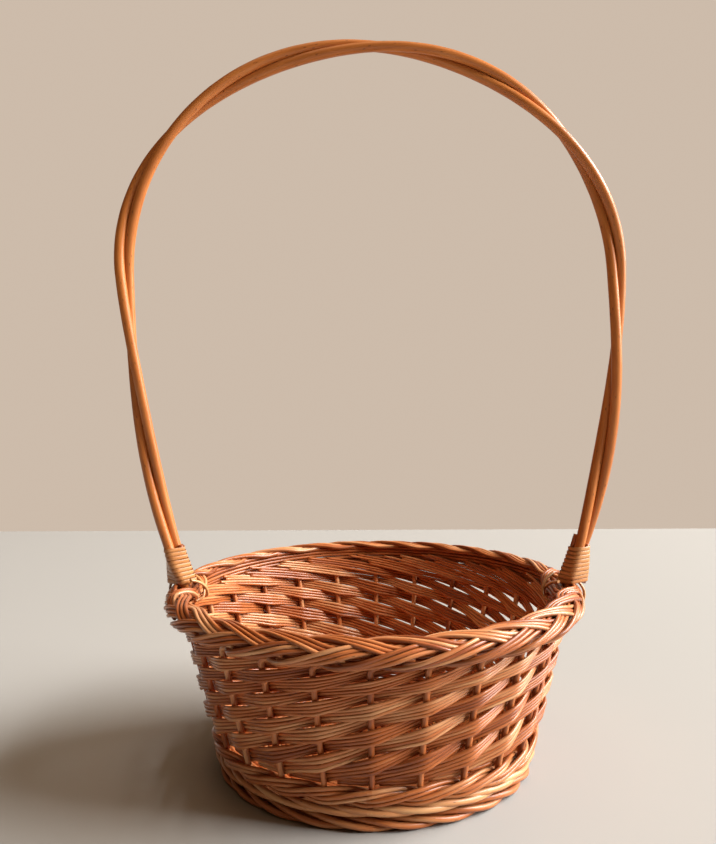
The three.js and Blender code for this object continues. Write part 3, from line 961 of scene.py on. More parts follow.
@dataclass
class Upsett:
    """Three strands of two thin rods each, which hold the stakes upright above the base."""

    wall: Wall
    strands: int = 3
    rod_radius: float = 1.22
    level: float = 18.5
    swing: float = 3.75
    shift: float = 0.25
    flat: float = 0.52
    flat_rounding: float = 0.25
    level_wobble: Pair = (0.18, 7.0)
    out_wobble: Pair = (0.2, 5.0)
    swell: Pair = (0.08, 9.0)
    tones: Pair = (0.25, 0.85)
    stations: int = 216

    @property
    def lift(self) -> float:
        """Rise and dip of a strand, so that two strands fill the height outside a stake."""
        return 4 * self.rod_radius / math.sqrt(3.0)

    @property
    def top(self) -> float:
        """Height of the upper edge, two rods above the middle."""
        return self.level + 4 * self.rod_radius

    def strand(self, index: int, hand: Hand) -> Rods:
        """One strand: outside two stakes and inside the third.

        With t going once round in three stake spaces, its radius is the wall's plus
        swing (shift + the soft minimum of cos t and flat) and its height level + lift sin(t).

        Args:
            index: Which of the three strands.
            hand: Source of small differences.

        Returns:
            Two closed rods, one above the other.
        """
        spaces = self.wall.spaces(self.stations)
        turn = FULL_TURN * (spaces + index + 0.5) / self.strands
        above = self.rod_radius * np.array([[-1.0], [1.0]])
        height = self.level + self.lift * np.sin(turn) + above
        height = height + hand.wander(2, spaces, *self.level_wobble)
        over = np.cos(turn) - self.flat
        bent = self.flat + 0.5 * (over - np.hypot(over, self.flat_rounding))
        radius = self.wall.radius(height) + self.swing * (self.shift + bent)
        radius = radius + hand.wander(2, spaces, *self.out_wobble)
        angle = spaces * self.wall.step
        size = self.rod_radius * (1.0 + hand.wander(2, spaces, *self.swell))
        tones = hand.tones(2, *self.tones)
        points = around(angle, radius, height)
        return Rods.plain(points, outwards(angle, 1.0, 0.0), size, size, tones, ring=True)

    def build(self, hand: Hand) -> None:
        """Makes the three strands.

        Args:
            hand: Source of small differences.
        """
        for index, letter in enumerate("abc"):
            strand = self.strand(index, hand)
            node = f"upsett_wale_{letter}"
            make_piece(f"upsett_strand_{letter}", [strand], WEAVER_WILLOW, [node])


@dataclass
class Siding:
    """The woven wall: one band of four rods for each stake, climbing one level per stake."""

    wall: Wall
    floor: float
    levels: int = 8
    rods_per_band: int = 4
    start_level: float = 28.16
    first_height: float = 8.3
    shrink: float = 0.3375
    tuck: float = 1.5
    tuck_depth: float = 0.5
    crowding: float = 0.2
    packing: float = 0.98
    fullness: float = 1.06
    gauge_spread: float = 0.06
    floor_gap: float = 0.9
    floor_spacing: float = 1.8
    butt: float = 0.8
    butt_spread: float = 0.12
    tip_spread: float = 0.35
    kink: float = 0.975
    slack: float = 0.4
    level_wobble: Pair = (0.14, 3.4)
    out_wobble: Pair = (0.14, 2.6)
    tones: Pair = (0.15, 0.85)
    tone_spread: float = 0.25
    stations: int = 96

    def level(self, passed: Array) -> Array:
        """Height of a band's middle after so many stakes: start + first s - shrink s^2 / 2."""
        return self.start_level + self.first_height * passed - self.shrink * passed**2 / 2

    def height(self, passed: Array) -> Array:
        """Height of one level after so many stakes."""
        return self.first_height - self.shrink * passed

    def wave(self, passed: Array) -> Array:
        """Rounded zigzag between -1 inside the even stakes and 1 outside the odd ones.

        It is asin(k cos(pi s)) scaled to end at -1 and 1. Before the first stake and after the
        last one it stays inside.

        Args:
            passed: Stake spaces from the band's first stake.

        Returns:
            The side at each place.
        """
        zigzag = -np.arcsin(self.kink * np.cos(math.pi * passed)) / math.asin(self.kink)
        return np.where((passed < 0.0) | (passed > self.levels), -1.0, zigzag)

    def band(self, index: int, hand: Hand) -> Rods:
        """The rods of one band, which thin out as they climb.

        Args:
            index: Number of the stake at which the band starts.
            hand: Source of small differences.

        Returns:
            The rods, from inside the wall's foot to a tip inside its top.
        """
        count = self.rods_per_band
        below = np.arange(count)[:, None]
        order = below - (count - 1) / 2
        first = -self.butt + hand.spread(order.shape, self.butt_spread)
        last = self.levels + self.tuck + hand.spread(order.shape, self.tip_spread)
        passed = mix(first, last, np.linspace(0.0, 1.0, self.stations)[None, :])
        gauge = self.height(passed) / (2 * count)
        side = self.wave(passed)
        crowd = self.crowding * side**2
        level = self.level(passed) + order * 2 * gauge * (self.packing + crowd)
        lowest = self.floor + gauge * (self.floor_gap + self.floor_spacing * below)
        level = np.maximum(level, lowest) + hand.wander(count, passed[0], *self.level_wobble)
        thick = gauge * (self.fullness + hand.spread(order.shape, self.gauge_spread))
        reach = self.wall.stake_radius + gauge + self.slack
        radius = self.wall.radius(level) + reach * side
        radius = radius + hand.wander(count, passed[0], *self.out_wobble)
        tucked = smooth(self.levels, self.levels + self.tuck, passed)
        radius = radius - self.tuck_depth * tucked
        angle = (index + passed) * self.wall.step
        tones = hand.tones(1, *self.tones) + hand.spread((count,), self.tone_spread)
        normals = outwards(angle, 1.0, -self.wall.flare)
        return Rods(around(angle, radius, level), normals, thick + gauge * crowd, thick, tones)

    def build(self, hand: Hand) -> None:
        """Makes one band for each stake.

        Args:
            hand: Source of small differences.
        """
        for index in range(self.wall.stakes):
            node = f"weaver_band_{index + 1:02d}"
            make_piece(f"{node}_rods", [self.band(index, hand)], WEAVER_WILLOW, [node])


@dataclass
class Border:
    """The stakes and the plait that their tops make round the rim."""

    wall: Wall
    roll: Roll
    low_bearing: float = math.radians(150.0)
    low_place: float = 0.5
    rate: float = math.radians(72.0)
    corner: float = math.radians(-32.0)
    rounding: float = math.radians(18.0)
    ridge: float = math.radians(58.0)
    ridge_width: float = math.radians(15.0)
    lift: float = 1.2
    joining: float = 1.3
    end: float = 4.7
    end_spread: float = 0.06
    butt_swell: float = 0.1
    thinning: Pair = (0.25, 0.5)
    stake_swell: Pair = (0.05, 0.2)
    side_rod_start: float = 0.3
    side_rod_offset: float = 2.15
    side_rod_radius: float = 1.12
    side_rod_wobble: Pair = (0.18, 1.9)
    side_rod_swell: Pair = (0.06, 1.2)
    hiding_depth: float = 2.4
    hiding_reach: float = 0.55
    inside_bearing: float = math.radians(-75.0)
    inside_scale: float = 0.85
    outside_bearing: float = math.radians(62.0)
    parting_bearing: float = math.radians(14.5)
    parted_full: float = 0.32
    parted_fade: float = 0.95
    parted_push: float = 1.0
    filler_start: float = 0.45
    straight_rise: float = 3.0
    straight_flare: float = 0.1
    straight_stations: int = 5
    bend_stations: int = 6
    bend_gap: float = 3.0
    wall_stations: int = 18
    turn_stations: int = 7
    plait_stations: int = 84
    inner_count: int = 5
    inner_stations: int = 144
    inner_low: float = 89.6
    inner_high: float = 98.0
    inner_set: float = 1.2
    inner_level_wobble: Pair = (0.3, 8.0)
    inner_out_wobble: Pair = (0.3, 6.0)
    inner_tones: Pair = (0.0, 0.4)
    inner_sides: int = 6
    core_away: tuple[float, ...] = (3.3, 3.1, 0.9, 5.2)
    core_up: tuple[float, ...] = (1.1, -1.5, 0.3, -0.3)
    core_radius: float = 1.4

    @property
    def turn_place(self) -> float:
        """Stake spaces from a stake to where its strand turns at the roll's inner edge."""
        return self.low_place + (self.low_bearing - self.corner) / self.rate

    def from_handle(self, place: Array) -> Array:
        """How far places round the basket are from the nearer foot of the handle.

        Args:
            place: Places in stake spaces from the front.

        Returns:
            Stake spaces, negative before the foot and positive after it.
        """
        turns = (place[..., None] - np.array(self.wall.handle_stakes)) / self.wall.stakes
        away = (turns - np.round(turns)) * self.wall.stakes
        nearer = np.argmin(np.abs(away), axis=-1)
        return np.take_along_axis(away, nearer[..., None], axis=-1)[..., 0]

    def held_place(self, place: Array) -> Array:
        """Place in the plait, which stands still beside the handle and then catches up.

        Args:
            place: Places in stake spaces from the front.

        Returns:
            The places whose part of the plait is shown there.
        """
        away = self.from_handle(place)
        free = np.abs(away) - self.parted_full
        free = np.maximum(free, 0.0) / (self.parted_fade - self.parted_full)
        moved = place + np.sign(away) * free * self.parted_fade - away
        return np.where(np.abs(away) > self.parted_fade, place, moved)

    def bearing(self, spaces: Array) -> tuple[Array, Array]:
        """Where a strand lies on the roll: it climbs the outside and comes down from the inside.

        The bearing is the hyperbola corner + sqrt((rate (s - turn place))^2 + rounding^2).

        Args:
            spaces: Stake spaces from the strand's stake.

        Returns:
            Bearings and headings, where 1 is climbing and -1 is coming down.
        """
        run = self.rate * (self.turn_place - spaces)
        size = np.hypot(run, self.rounding)
        return self.corner + size, run / size

    def strand_line(self, stake: Array, along: Array) -> tuple[Array, Array, Array]:
        """Centre line of plait strands.

        A strand joins the roll from below, and then its lift is lift * heading *
        tanh((bearing - ridge) / ridge width): climbing strands lie on top outside the ridge and
        underneath inside it, and strands coming down the other way round. Beside the handle the
        plait stands still, and its strands part to the inside and the outside of the foot.

        Args:
            stake: Stake numbers, rods by 1.
            along: Stake spaces from the stake, rods by stations.

        Returns:
            Points, normals of the roll, and angles round the basket.
        """
        place = stake + along
        spaces = self.held_place(place) - stake
        bearing, heading = self.bearing(spaces)
        lift = self.lift * heading * np.tanh((bearing - self.ridge) / self.ridge_width)
        start = self.wall.turn_reach
        inset = (self.wall.radius(self.wall.turn_level) - self.roll.centre_radius) / self.roll.reach
        drop = (self.wall.turn_level - self.roll.centre_level) / self.roll.rise
        shift = math.atan2(inset, drop) + FULL_TURN - self.bearing(np.array(start))[0]
        joined = smooth(start, self.joining, spaces)
        bearing = bearing + shift * (1.0 - smooth(start, self.low_place + start, spaces))
        scale = mix(math.hypot(inset, drop), 1.0, joined)
        held = 1.0 - smooth(self.parted_full, self.parted_push, np.abs(self.from_handle(place)))
        at_handle = self.bearing(spaces - self.from_handle(stake + spaces))[0]
        inside = at_handle < self.parting_bearing
        outer = np.maximum(bearing, self.outside_bearing + heading * self.ridge_width / 2)
        bearing = mix(bearing, np.where(inside, self.inside_bearing, outer), held)
        scale = mix(scale, np.where(inside, self.inside_scale, scale), held)
        angle = place * self.wall.step
        points, normals = self.roll.at(angle, bearing, scale, lift * joined)
        return points, normals, angle

    def foot_line(self, stake: Array) -> tuple[Array, Array]:
        """A stake's lower part: a tail in the base, a bend, and the wall up to the turn.

        Args:
            stake: Stake numbers, rods by 1.

        Returns:
            Points and normals.
        """
        wall = self.wall
        share = np.linspace(0.0, 1.0, self.bend_stations)
        bend_height = wall.base_level + wall.bend * share**2
        bend_radius = wall.radius(bend_height) - wall.bend * (1 - share) ** 2
        lowest = wall.base_level + wall.bend + self.bend_gap
        straight = np.linspace(lowest, wall.turn_level - wall.turn_rise, self.wall_stations)
        tail = [wall.tail_start, wall.tail_middle]
        height = np.concatenate([[wall.base_level] * len(tail), bend_height, straight])
        radius = np.concatenate([tail, bend_radius, wall.radius(straight)])
        lean = np.concatenate([[0.0] * len(tail), share, np.ones(len(straight))])
        angle = np.broadcast_to(stake * wall.step, (len(stake), len(height)))
        return around(angle, radius, height), outwards(angle, -lean, 1.0 - lean)

    def turn_line(self, stake: Array) -> tuple[Array, Array]:
        """The quarter turn that brings a stake over to the right.

        Args:
            stake: Stake numbers, rods by 1.

        Returns:
            Points and normals.
        """
        wall = self.wall
        quarter = np.linspace(0.0, 1.0, self.turn_stations)[1:-1] * math.pi / 2
        height = wall.turn_level - wall.turn_rise + wall.turn_rise * np.sin(quarter)
        angle = (stake + wall.turn_reach * (1 - np.cos(quarter))) * wall.step
        return around(angle, wall.radius(height), height), outwards(angle, -1.0, 0.0)

    def stake_rods(self, stake: Array, hand: Hand) -> Rods:
        """Whole stakes, from the tail in the base to the cut end under the plait.

        Args:
            stake: Stake numbers, rods by 1.
            hand: Source of small differences.

        Returns:
            One rod for each stake.
        """
        along = np.linspace(self.wall.turn_reach, self.end, self.plait_stations)[None, :]
        along = np.broadcast_to(along, (len(stake), self.plait_stations))
        top = self.strand_line(stake, along)[:2]
        parts = zip(self.foot_line(stake), self.turn_line(stake), top)
        points, normals = (np.concatenate(part, axis=1) for part in parts)
        run = np.linspace(0.0, 1.0, points.shape[1])
        butt = self.wall.stake_radius + self.butt_swell
        size = mix(butt, self.side_rod_radius, smooth(*self.thinning, run))
        size = size * (1.0 + hand.wander(len(stake), run, *self.stake_swell))
        return Rods(points, normals, size, size, hand.tones(len(stake)))

    def side_rods(self, stake: Array, start: float, hand: Hand) -> Rods:
        """The two rods that lie beside each stake's top in the plait.

        Args:
            stake: Stake numbers, rods by 1.
            start: Stake spaces from the stake to where they come out.
            hand: Source of small differences.

        Returns:
            Two rods for each stake, in the order of the stakes.
        """
        stake = np.repeat(stake, 2, axis=0)
        count = len(stake)
        side = np.tile([-1.0, 1.0], count // 2)[:, None]
        last = self.end + hand.spread((count, 1), self.end_spread)
        along = mix(start, last, np.linspace(0.0, 1.0, self.plait_stations)[None, :])
        points, normals, angle = self.strand_line(stake, along)
        centre = Rods(points, normals, along, along, side[:, 0])
        across = unit(np.cross(centre.tangents(), normals))
        offset = side * self.side_rod_offset + hand.wander(count, along, *self.side_rod_wobble)
        points = points + across * offset[..., None]
        hidden = self.hiding_depth * (1.0 - smooth(start, start + self.hiding_reach, along))
        points = points - outwards(angle, 1.0, 0.0) * hidden[..., None]
        size = self.side_rod_radius * (1.0 + hand.wander(count, along, *self.side_rod_swell))
        return Rods(points, normals, size, size, hand.tones(count))

    def inner_rods(self, hand: Hand) -> Rods:
        """Thin rods laid round under and inside the plait, which close the space above the siding.

        Args:
            hand: Source of small differences.

        Returns:
            Closed rods: those under the plait and then those inside it.
        """
        under = np.linspace(self.inner_low, self.inner_high, self.inner_count)
        level = np.concatenate([under, self.roll.centre_level + np.array(self.core_up)])[:, None]
        away = np.concatenate([np.full(self.inner_count, -self.inner_set), self.core_away])
        count = len(level)
        spaces = self.wall.spaces(self.inner_stations)
        level = level + hand.wander(count, spaces, *self.inner_level_wobble)
        radius = self.roll.centre_radius + away[:, None]
        radius = radius + hand.wander(count, spaces, *self.inner_out_wobble)
        sizes = [self.side_rod_radius] * self.inner_count + [self.core_radius] * len(self.core_up)
        size = np.array(sizes)[:, None]
        tones = hand.tones(count, *self.inner_tones)
        angle = spaces * self.wall.step
        points = around(angle, radius, level)
        normals = outwards(angle, 1.0, 0.0)
        return Rods.plain(points, normals, size, size, tones, self.inner_sides, True)

    def build(self, hand: Hand) -> None:
        """Makes the inner rods, the plaited stakes, the two straight ones and the fillers.

        Args:
            hand: Source of small differences.
        """
        make_piece("border_inner_rods", [self.inner_rods(hand)], STAKE_WILLOW, [])
        numbers = [k for k in range(self.wall.stakes) if k not in self.wall.handle_stakes]
        stake = np.array(numbers, float)[:, None]
        stakes = self.stake_rods(stake, hand)
        sides = self.side_rods(stake, self.side_rod_start, hand)
        for place, k in enumerate(numbers):
            batches = [stakes.only([place]), sides.only([2 * place, 2 * place + 1])]
            node = f"side_stake_{k + 1:02d}"
            make_piece(f"{node}_rods", batches, STAKE_WILLOW, [node])
        for k, side in zip(self.wall.handle_stakes, ("right", "left")):
            self.build_at_handle(k, side, hand)

    def build_at_handle(self, k: int, side: str, hand: Hand) -> None:
        """Makes the straight stake in one foot of the handle and the filler strand beside it.

        Args:
            k: Number of the stake.
            side: Which foot, in plain words.
            hand: Source of small differences.
        """
        stake = np.array([[float(k)]])
        foot, foot_normals = self.foot_line(stake)
        highest = self.wall.border_top + self.straight_rise
        height = np.linspace(self.wall.turn_level, highest, self.straight_stations)
        angle = np.full((1, len(height)), k * self.wall.step)
        out = self.straight_flare * (height - self.wall.turn_level)
        top = around(angle, self.wall.radius(height) + out, height)
        points = np.concatenate([foot, top], axis=1)
        normals = np.concatenate([foot_normals, outwards(angle, -1.0, 0.0)], axis=1)
        size = self.wall.stake_radius
        straight = Rods.plain(points, normals, size, size, hand.tones(1))
        node = f"side_stake_{k + 1:02d}"
        make_piece(f"{node}_rod", [straight], STAKE_WILLOW, [node])
        along = np.linspace(self.filler_start, self.end, self.plait_stations)[None, :]
        points, normals, _ = self.strand_line(stake, along)
        size = self.side_rod_radius
        middle = Rods.plain(points, normals, size, size, hand.tones(1))
        batches = [middle, self.side_rods(stake, self.filler_start, hand)]
        node = f"border_filler_{side}"
        make_piece(f"{node}_rods", batches, STAKE_WILLOW, [node])


@dataclass
class Handle:
    """Two rods twisted round each other over the arch."""

    wall: Wall
    rod_radius: float = 2.85
    rod_swell: Pair = (0.035, 150.0)
    rod_sides: int = 16
    tones: Pair = (0.4, 0.62)
    tip_radius: float = 1.2
    tip_level: float = 58.0
    tip_start: float = 7.0
    tip_end: float = 15.0
    top: float = 397.0
    bow: float = 27.6
    widest_level: float = 275.0
    shift: float = 1.4
    lean: float = -5.2
    lean_span: Pair = (190.0, 360.0)
    half_turns: float = 6.0
    foot_length: float = 26.0
    foot_flare: float = 0.1
    foot_set: float = 3.8
    late: float = 0.028
    late_from: float = 0.2
    late_until: Pair = (0.45, 0.8)
    closing: float = 4.0
    clearance: float = 0.35
    closeness: float = 0.97
    binding_low: float = 101.0
    binding_high: float = 121.0
    leg_stations: int = 240
    arch_stations: int = 480
    stations: int = 340

    @property
    def widest(self) -> float:
        """Half width of the arch at its widest."""
        return self.wall.border_radius + self.bow

    @property
    def lower_reach(self) -> float:
        """Vertical half axis of the lower quarters, which come down just outside the border."""
        drop = self.widest_level - (self.binding_low + self.binding_high) / 2
        foot = self.wall.border_radius + self.foot_set
        return drop / math.sqrt(1.0 - (foot / self.widest) ** 2)

    def half_width(self, height: Array) -> Array:
        """Half width of the arch at a height below its widest level.

        It is widest * sqrt(1 - d^2), with d the drop from the widest level as a share of the
        lower reach, blended at the feet into the line of the wall.

        Args:
            height: Heights of the places.

        Returns:
            Distances from the axis.
        """
        drop = (self.widest_level - height) / self.lower_reach
        bowed = self.widest * np.sqrt(1.0 - drop**2)
        foot = self.wall.radius(height)
        foot = foot + self.foot_flare * np.maximum(0.0, height - self.wall.turn_level)
        start = self.wall.border_level
        return mix(foot, bowed, smooth(start, start + self.foot_length, height))

    def sway(self, height: Array) -> Array:
        """How far the arch is to the right of its middle, which is less than 0 at the top."""
        shift = self.shift * smooth(self.wall.border_level, self.binding_low, height)
        return shift + self.lean * smooth(*self.lean_span, height)

    def line(self) -> tuple[Array, Array]:
        """Even points along the arch from the left tip over the top to the right tip.

        Returns:
            Points and the length from the left tip to each.
        """
        leg = np.linspace(self.tip_level, self.widest_level, self.leg_stations)[:-1]
        turn = np.linspace(0.0, math.pi, self.arch_stations)
        rise = self.top - self.widest_level
        x = [-self.half_width(leg), -self.widest * np.cos(turn), self.half_width(leg[::-1])]
        z = [leg, self.widest_level + rise * np.sin(turn), leg[::-1]]
        x, z = np.concatenate(x), np.concatenate(z)
        x = x + self.sway(z)
        run = np.concatenate([[0.0], np.cumsum(np.hypot(np.diff(x), np.diff(z)))])
        even = np.linspace(0.0, run[-1], self.stations)
        x, z = np.interp(even, run, x), np.interp(even, run, z)
        return np.stack([x, np.zeros_like(x), z], axis=-1), even

    def radius(self, height: Array) -> Array:
        """Rod radius, which thins to a tip beside the stake below the border.

        Args:
            height: Heights of the places.

        Returns:
            Radii, from the tip's to the full one by a soft step.
        """
        top = self.wall.border_top
        full = smooth(top - self.tip_end, top + self.tip_start, height)
        return mix(self.tip_radius, self.rod_radius, full)

    def apart(self, height: Array) -> Array:
        """Distance of each rod from the line between them.

        Args:
            height: Heights of the places.

        Returns:
            Distances: astride the stake at the border, and touching above the bindings.
        """
        astride = self.wall.stake_radius + self.clearance + self.radius(height)
        together = self.rod_radius * self.closeness
        start = self.wall.border_top + self.closing
        return mix(astride, together, smooth(start, self.binding_high + self.closing, height))

    def twist(self, run: Array, length: float) -> Array:
        """Angle of the pair: none below the border, then even but late on the left side.

        With s the share of the arch passed, it is half turns * pi * (s - late), where late grows
        from the left foot, stays over the left side and is made up for on the right side.

        Args:
            run: Lengths from the left tip.
            length: The arch's whole length.

        Returns:
            Angles in radians.
        """
        ramp = self.wall.border_top - self.tip_level
        share = np.clip((run - ramp) / (length - 2 * ramp), 0.0, 1.0)
        lag = smooth(0.0, self.late_from, share) * (1.0 - smooth(*self.late_until, share))
        return self.half_turns * math.pi * (share - self.late * lag)

    def rods(self, hand: Hand) -> Rods:
        """The two rods: centre line + apart * (front cos t + outer sin t), and its opposite.

        Args:
            hand: Source of small differences.

        Returns:
            Both rods, from the left tips to the right ones.
        """
        centre, run = self.line()
        tangent = unit(np.gradient(centre, axis=0))
        outer = np.stack([-tangent[:, 2], np.zeros(len(run)), tangent[:, 0]], axis=-1)
        turn = self.twist(run, run[-1])[:, None]
        away = FRONTWARDS * np.cos(turn) + outer * np.sin(turn)
        away = np.stack([away, -away])
        height = centre[:, 2]
        points = centre + away * self.apart(height)[None, :, None]
        size = self.radius(height) * (1.0 + hand.wander(2, run, *self.rod_swell))
        return Rods(points, away, size, size, hand.tones(2, *self.tones), self.rod_sides)

    def build(self, hand: Hand) -> None:
        """Makes the two rods.

        Args:
            hand: Source of small differences.
        """
        rods = self.rods(hand)
        for place, letter in enumerate("ab"):
            node = f"handle_rod_{letter}"
            make_piece(f"{node}_willow", [rods.only([place])], HANDLE_WILLOW, [node])


class Foot(Enum):
    """The two feet of the handle."""

    LEFT = -1.0
    RIGHT = 1.0


@dataclass(frozen=True)
class Lashing:
    """A cane tail over the border.

    Attributes:
        bearing: First and last bearing on the roll, in degrees.
        swing: First and last angle round the basket from the handle's foot, in degrees.
        lift: Height above the roll.
    """

    bearing: Pair
    swing: Pair
    lift: float


@dataclass
class Binding:
    """Cane wound round one foot of the handle, its packing rods and its lashings."""

    wall: Wall
    roll: Roll
    handle: Handle
    foot: Foot
    turns: int = 9
    steps: int = 44
    start: float = 0.25
    cane_width: float = 1.25
    cane_thickness: float = 0.28
    cane_gap: float = 0.1
    cane_sides: int = 10
    cane_tones: Pair = (0.5, 0.6)
    wobble: Pair = (0.16, 1.7)
    swell: Pair = (0.05, 2.3)
    sharpness: float = 3.5
    packing_radius: float = 1.3
    packing_drop: float = 2.0
    packing_tones: Pair = (0.05, 0.3)
    packing_stations: int = 12
    flare_from: float = -0.1
    inner_flare: float = 5.2
    inner_top: float = 4.9
    outer_flare: float = 8.4
    outer_top: float = 3.0
    right_stub: float = 6.5
    left_stub: float = 1.4
    outer_stub: float = 1.6
    outside_tail: Lashing = Lashing(bearing=(40.0, 160.0), swing=(-1.5, -4.5), lift=4.0)
    lower_tail: Lashing = Lashing(bearing=(-20.0, -130.0), swing=(-4.4, 4.2), lift=2.8)
    upper_tail: Lashing = Lashing(bearing=(-20.0, -130.0), swing=(4.4, -4.2), lift=4.0)
    lashing_thickness: float = 0.8
    lashing_sink: float = 2.4
    lashing_sink_from: float = 0.72
    lashing_tones: Pair = (0.5, 0.9)
    lashing_stations: int = 40

    @property
    def name(self) -> str:
        """The foot's name in plain words."""
        return self.foot.name.lower()

    @property
    def axiswards(self) -> Array:
        """Direction in the level plane from the foot to the basket's axis."""
        return np.array([-self.foot.value, 0.0])

    def packing_offsets(self, height: Array) -> Array:
        """Distances of the inner and outer packing rods from the handle's line.

        Args:
            height: Heights of the places.

        Returns:
            Two rows, inner and outer: more at the border, and beside the rods at the top.
        """
        low, high = self.handle.binding_low, self.handle.binding_high
        share = np.clip((height - low) / (high - low), self.flare_from, 1.0)
        inner = mix(self.inner_flare, self.inner_top, share)
        outer = mix(self.outer_flare, self.outer_top, share)
        return np.stack([inner, outer])

    def pair(self, height: Array) -> tuple[Array, Array, Array]:
        """Where the handle's line and its two rods lie in the level plane.

        Args:
            height: Heights of the places.

        Returns:
            Places of the line along X, the first rod's offsets as X and Y, and directions to
            the outer side, square to those offsets.
        """
        line, run = self.handle.line()
        half = len(run) // 2
        order = slice(0, half) if self.foot is Foot.LEFT else slice(len(run) - 1, half, -1)
        place = np.interp(height, line[order, 2], run[order])
        turn = self.handle.twist(place, run[-1])
        middle = self.foot.value * self.handle.half_width(height) + self.handle.sway(height)
        sideways = self.foot.value * np.sin(turn)
        forwards = -np.cos(turn)
        offset = np.stack([sideways, forwards], axis=-1) * self.handle.apart(height)[..., None]
        outer = self.foot.value * np.stack([-forwards, sideways], axis=-1)
        return middle, offset, outer

    def winding(self, hand: Hand) -> Rods:
        """The winding, which hugs the two rods and the two packing rods inside it.

        In each direction n the cane stands off by the soft maximum of c.n + r over those four
        rods, and the point of the hull is h n + h' t, with t square to n. Both ends lie at the
        back.

        Args:
            hand: Source of small differences.

        Returns:
            One rod of flattened section.
        """
        turn = np.linspace(self.start, self.turns + self.start, self.steps * self.turns)
        share = (turn - self.start) / self.turns
        height = mix(self.handle.binding_low, self.handle.binding_high, share)
        middle, offset, groove = self.pair(height)
        inner, outer = self.packing_offsets(height)[..., None]
        centres = np.stack([offset, -offset, self.axiswards * inner, groove * outer])
        gap = self.cane_thickness + self.cane_gap
        rod = self.handle.radius(height) + gap
        pack = np.full_like(rod, self.packing_radius + gap)
        reach = np.stack([rod, rod, pack, pack])
        bearing = FULL_TURN * turn
        away = np.stack([np.cos(bearing), np.sin(bearing)], axis=-1)
        square = np.stack([-np.sin(bearing), np.cos(bearing)], axis=-1)
        support = np.einsum("rij,ij->ri", centres, away) + reach
        weight = np.exp(self.sharpness * (support - support.max(axis=0)))
        hull = support.max(axis=0) + np.log(weight.sum(axis=0)) / self.sharpness
        slide = np.einsum("rij,ij->ri", centres, square)
        slide = (weight * slide).sum(axis=0) / weight.sum(axis=0)
        flat = away * hull[:, None] + square * slide[:, None]
        height = height + hand.wander(1, turn, *self.wobble)[0]
        points = np.stack([middle + flat[:, 0], flat[:, 1], height], axis=-1)[None]
        normals = np.concatenate([away, np.zeros((len(away), 1))], axis=-1)
        wide = self.cane_width * (1.0 + hand.wander(1, turn, *self.swell))
        tones = hand.tones(1, *self.cane_tones)
        return Rods.plain(points, normals, wide, self.cane_thickness, tones, self.cane_sides)

    def packing(self, hand: Hand) -> Rods:
        """Two short rods under the winding, one inside and one outside the handle's foot.

        Args:
            hand: Source of small differences.

        Returns:
            The inner rod and the outer one, whose ends stand out above the winding.
        """
        inner_stub = self.right_stub if self.foot is Foot.RIGHT else self.left_stub
        stub = np.array([[inner_stub], [self.outer_stub]])
        share = np.linspace(0.0, 1.0, self.packing_stations)[None, :]
        lowest = self.wall.border_top - self.packing_drop
        height = mix(lowest, self.handle.binding_high + stub, share)
        middle, _, groove = self.pair(height)
        inner = self.packing_offsets(height[0])[0][:, None] * self.axiswards
        outer = self.packing_offsets(height[1])[1][:, None] * groove[1]
        flat = np.stack([inner, outer])
        points = np.stack([middle + flat[..., 0], flat[..., 1], height], axis=-1)
        size = self.packing_radius
        return Rods.plain(points, FRONTWARDS, size, size, hand.tones(2, *self.packing_tones))

    def lashings(self, hand: Hand) -> Rods:
        """Three cane tails over the border: one down its outside and two crossed inside.

        Each tail lies above the roll, its bearing and its angle round the basket going evenly
        from the first value to the last, and its end sinks into the plait.

        Args:
            hand: Source of small differences.

        Returns:
            The tails as rods of flattened section.
        """
        tails = (self.outside_tail, self.lower_tail, self.upper_tail)
        share = np.linspace(0.0, 1.0, self.lashing_stations)[None, :]
        bearing = mix(*np.radians([tail.bearing for tail in tails]).T[..., None], share)
        swing = mix(*np.radians([tail.swing for tail in tails]).T[..., None], share)
        angle = self.foot.value * math.pi / 2 + swing
        lift = np.array([tail.lift for tail in tails])[:, None]
        lift = lift - self.lashing_sink * smooth(self.lashing_sink_from, 1.0, share)
        points, normals = self.roll.at(angle, bearing, 1.0, lift)
        tones = hand.tones(len(tails), *self.lashing_tones)
        return Rods.plain(points, normals, self.cane_width, self.lashing_thickness, tones)

    def build(self, hand: Hand) -> None:
        """Makes the winding, its packing and its lashings.

        Args:
            hand: Source of small differences.
        """
        node = f"handle_binding_{self.name}"
        make_piece(f"{node}_cane", [self.winding(hand)], BINDING_CANE, [node])
        make_piece(f"handle_packing_{self.name}", [self.packing(hand)], STAKE_WILLOW, [])
        make_piece(f"handle_lashing_{self.name}", [self.lashings(hand)], BINDING_CANE, [])


# The studio


@dataclass(frozen=True)
class Lamp:
    """One area lamp that faces the basket.

    Attributes:
        name: Lamp name.
        place: Where its middle stands.
        wide: Level side.
        high: Upright side.
        power: Power in watts.
        colour: Its colour.
    """

    name: str
    place: Triple
    wide: float
    high: float
    power: float
    colour: Colour

    def hang(self, aim: Vector) -> None:
        """Adds the lamp to the scene.

        Args:
            aim: The place that it faces.
        """
        data = bpy.data.lights.new(self.name, "AREA")
        data.shape = "RECTANGLE"
        data.size = self.wide
        data.size_y = self.high
        data.energy = self.power
        data.color = self.colour
        lamp = bpy.data.objects.new(self.name, data)
        lamp.location = self.place
        facing = aim - Vector(self.place)
        lamp.rotation_euler = facing.to_track_quat("-Z", "Y").to_euler()
        bpy.context.scene.collection.objects.link(lamp)


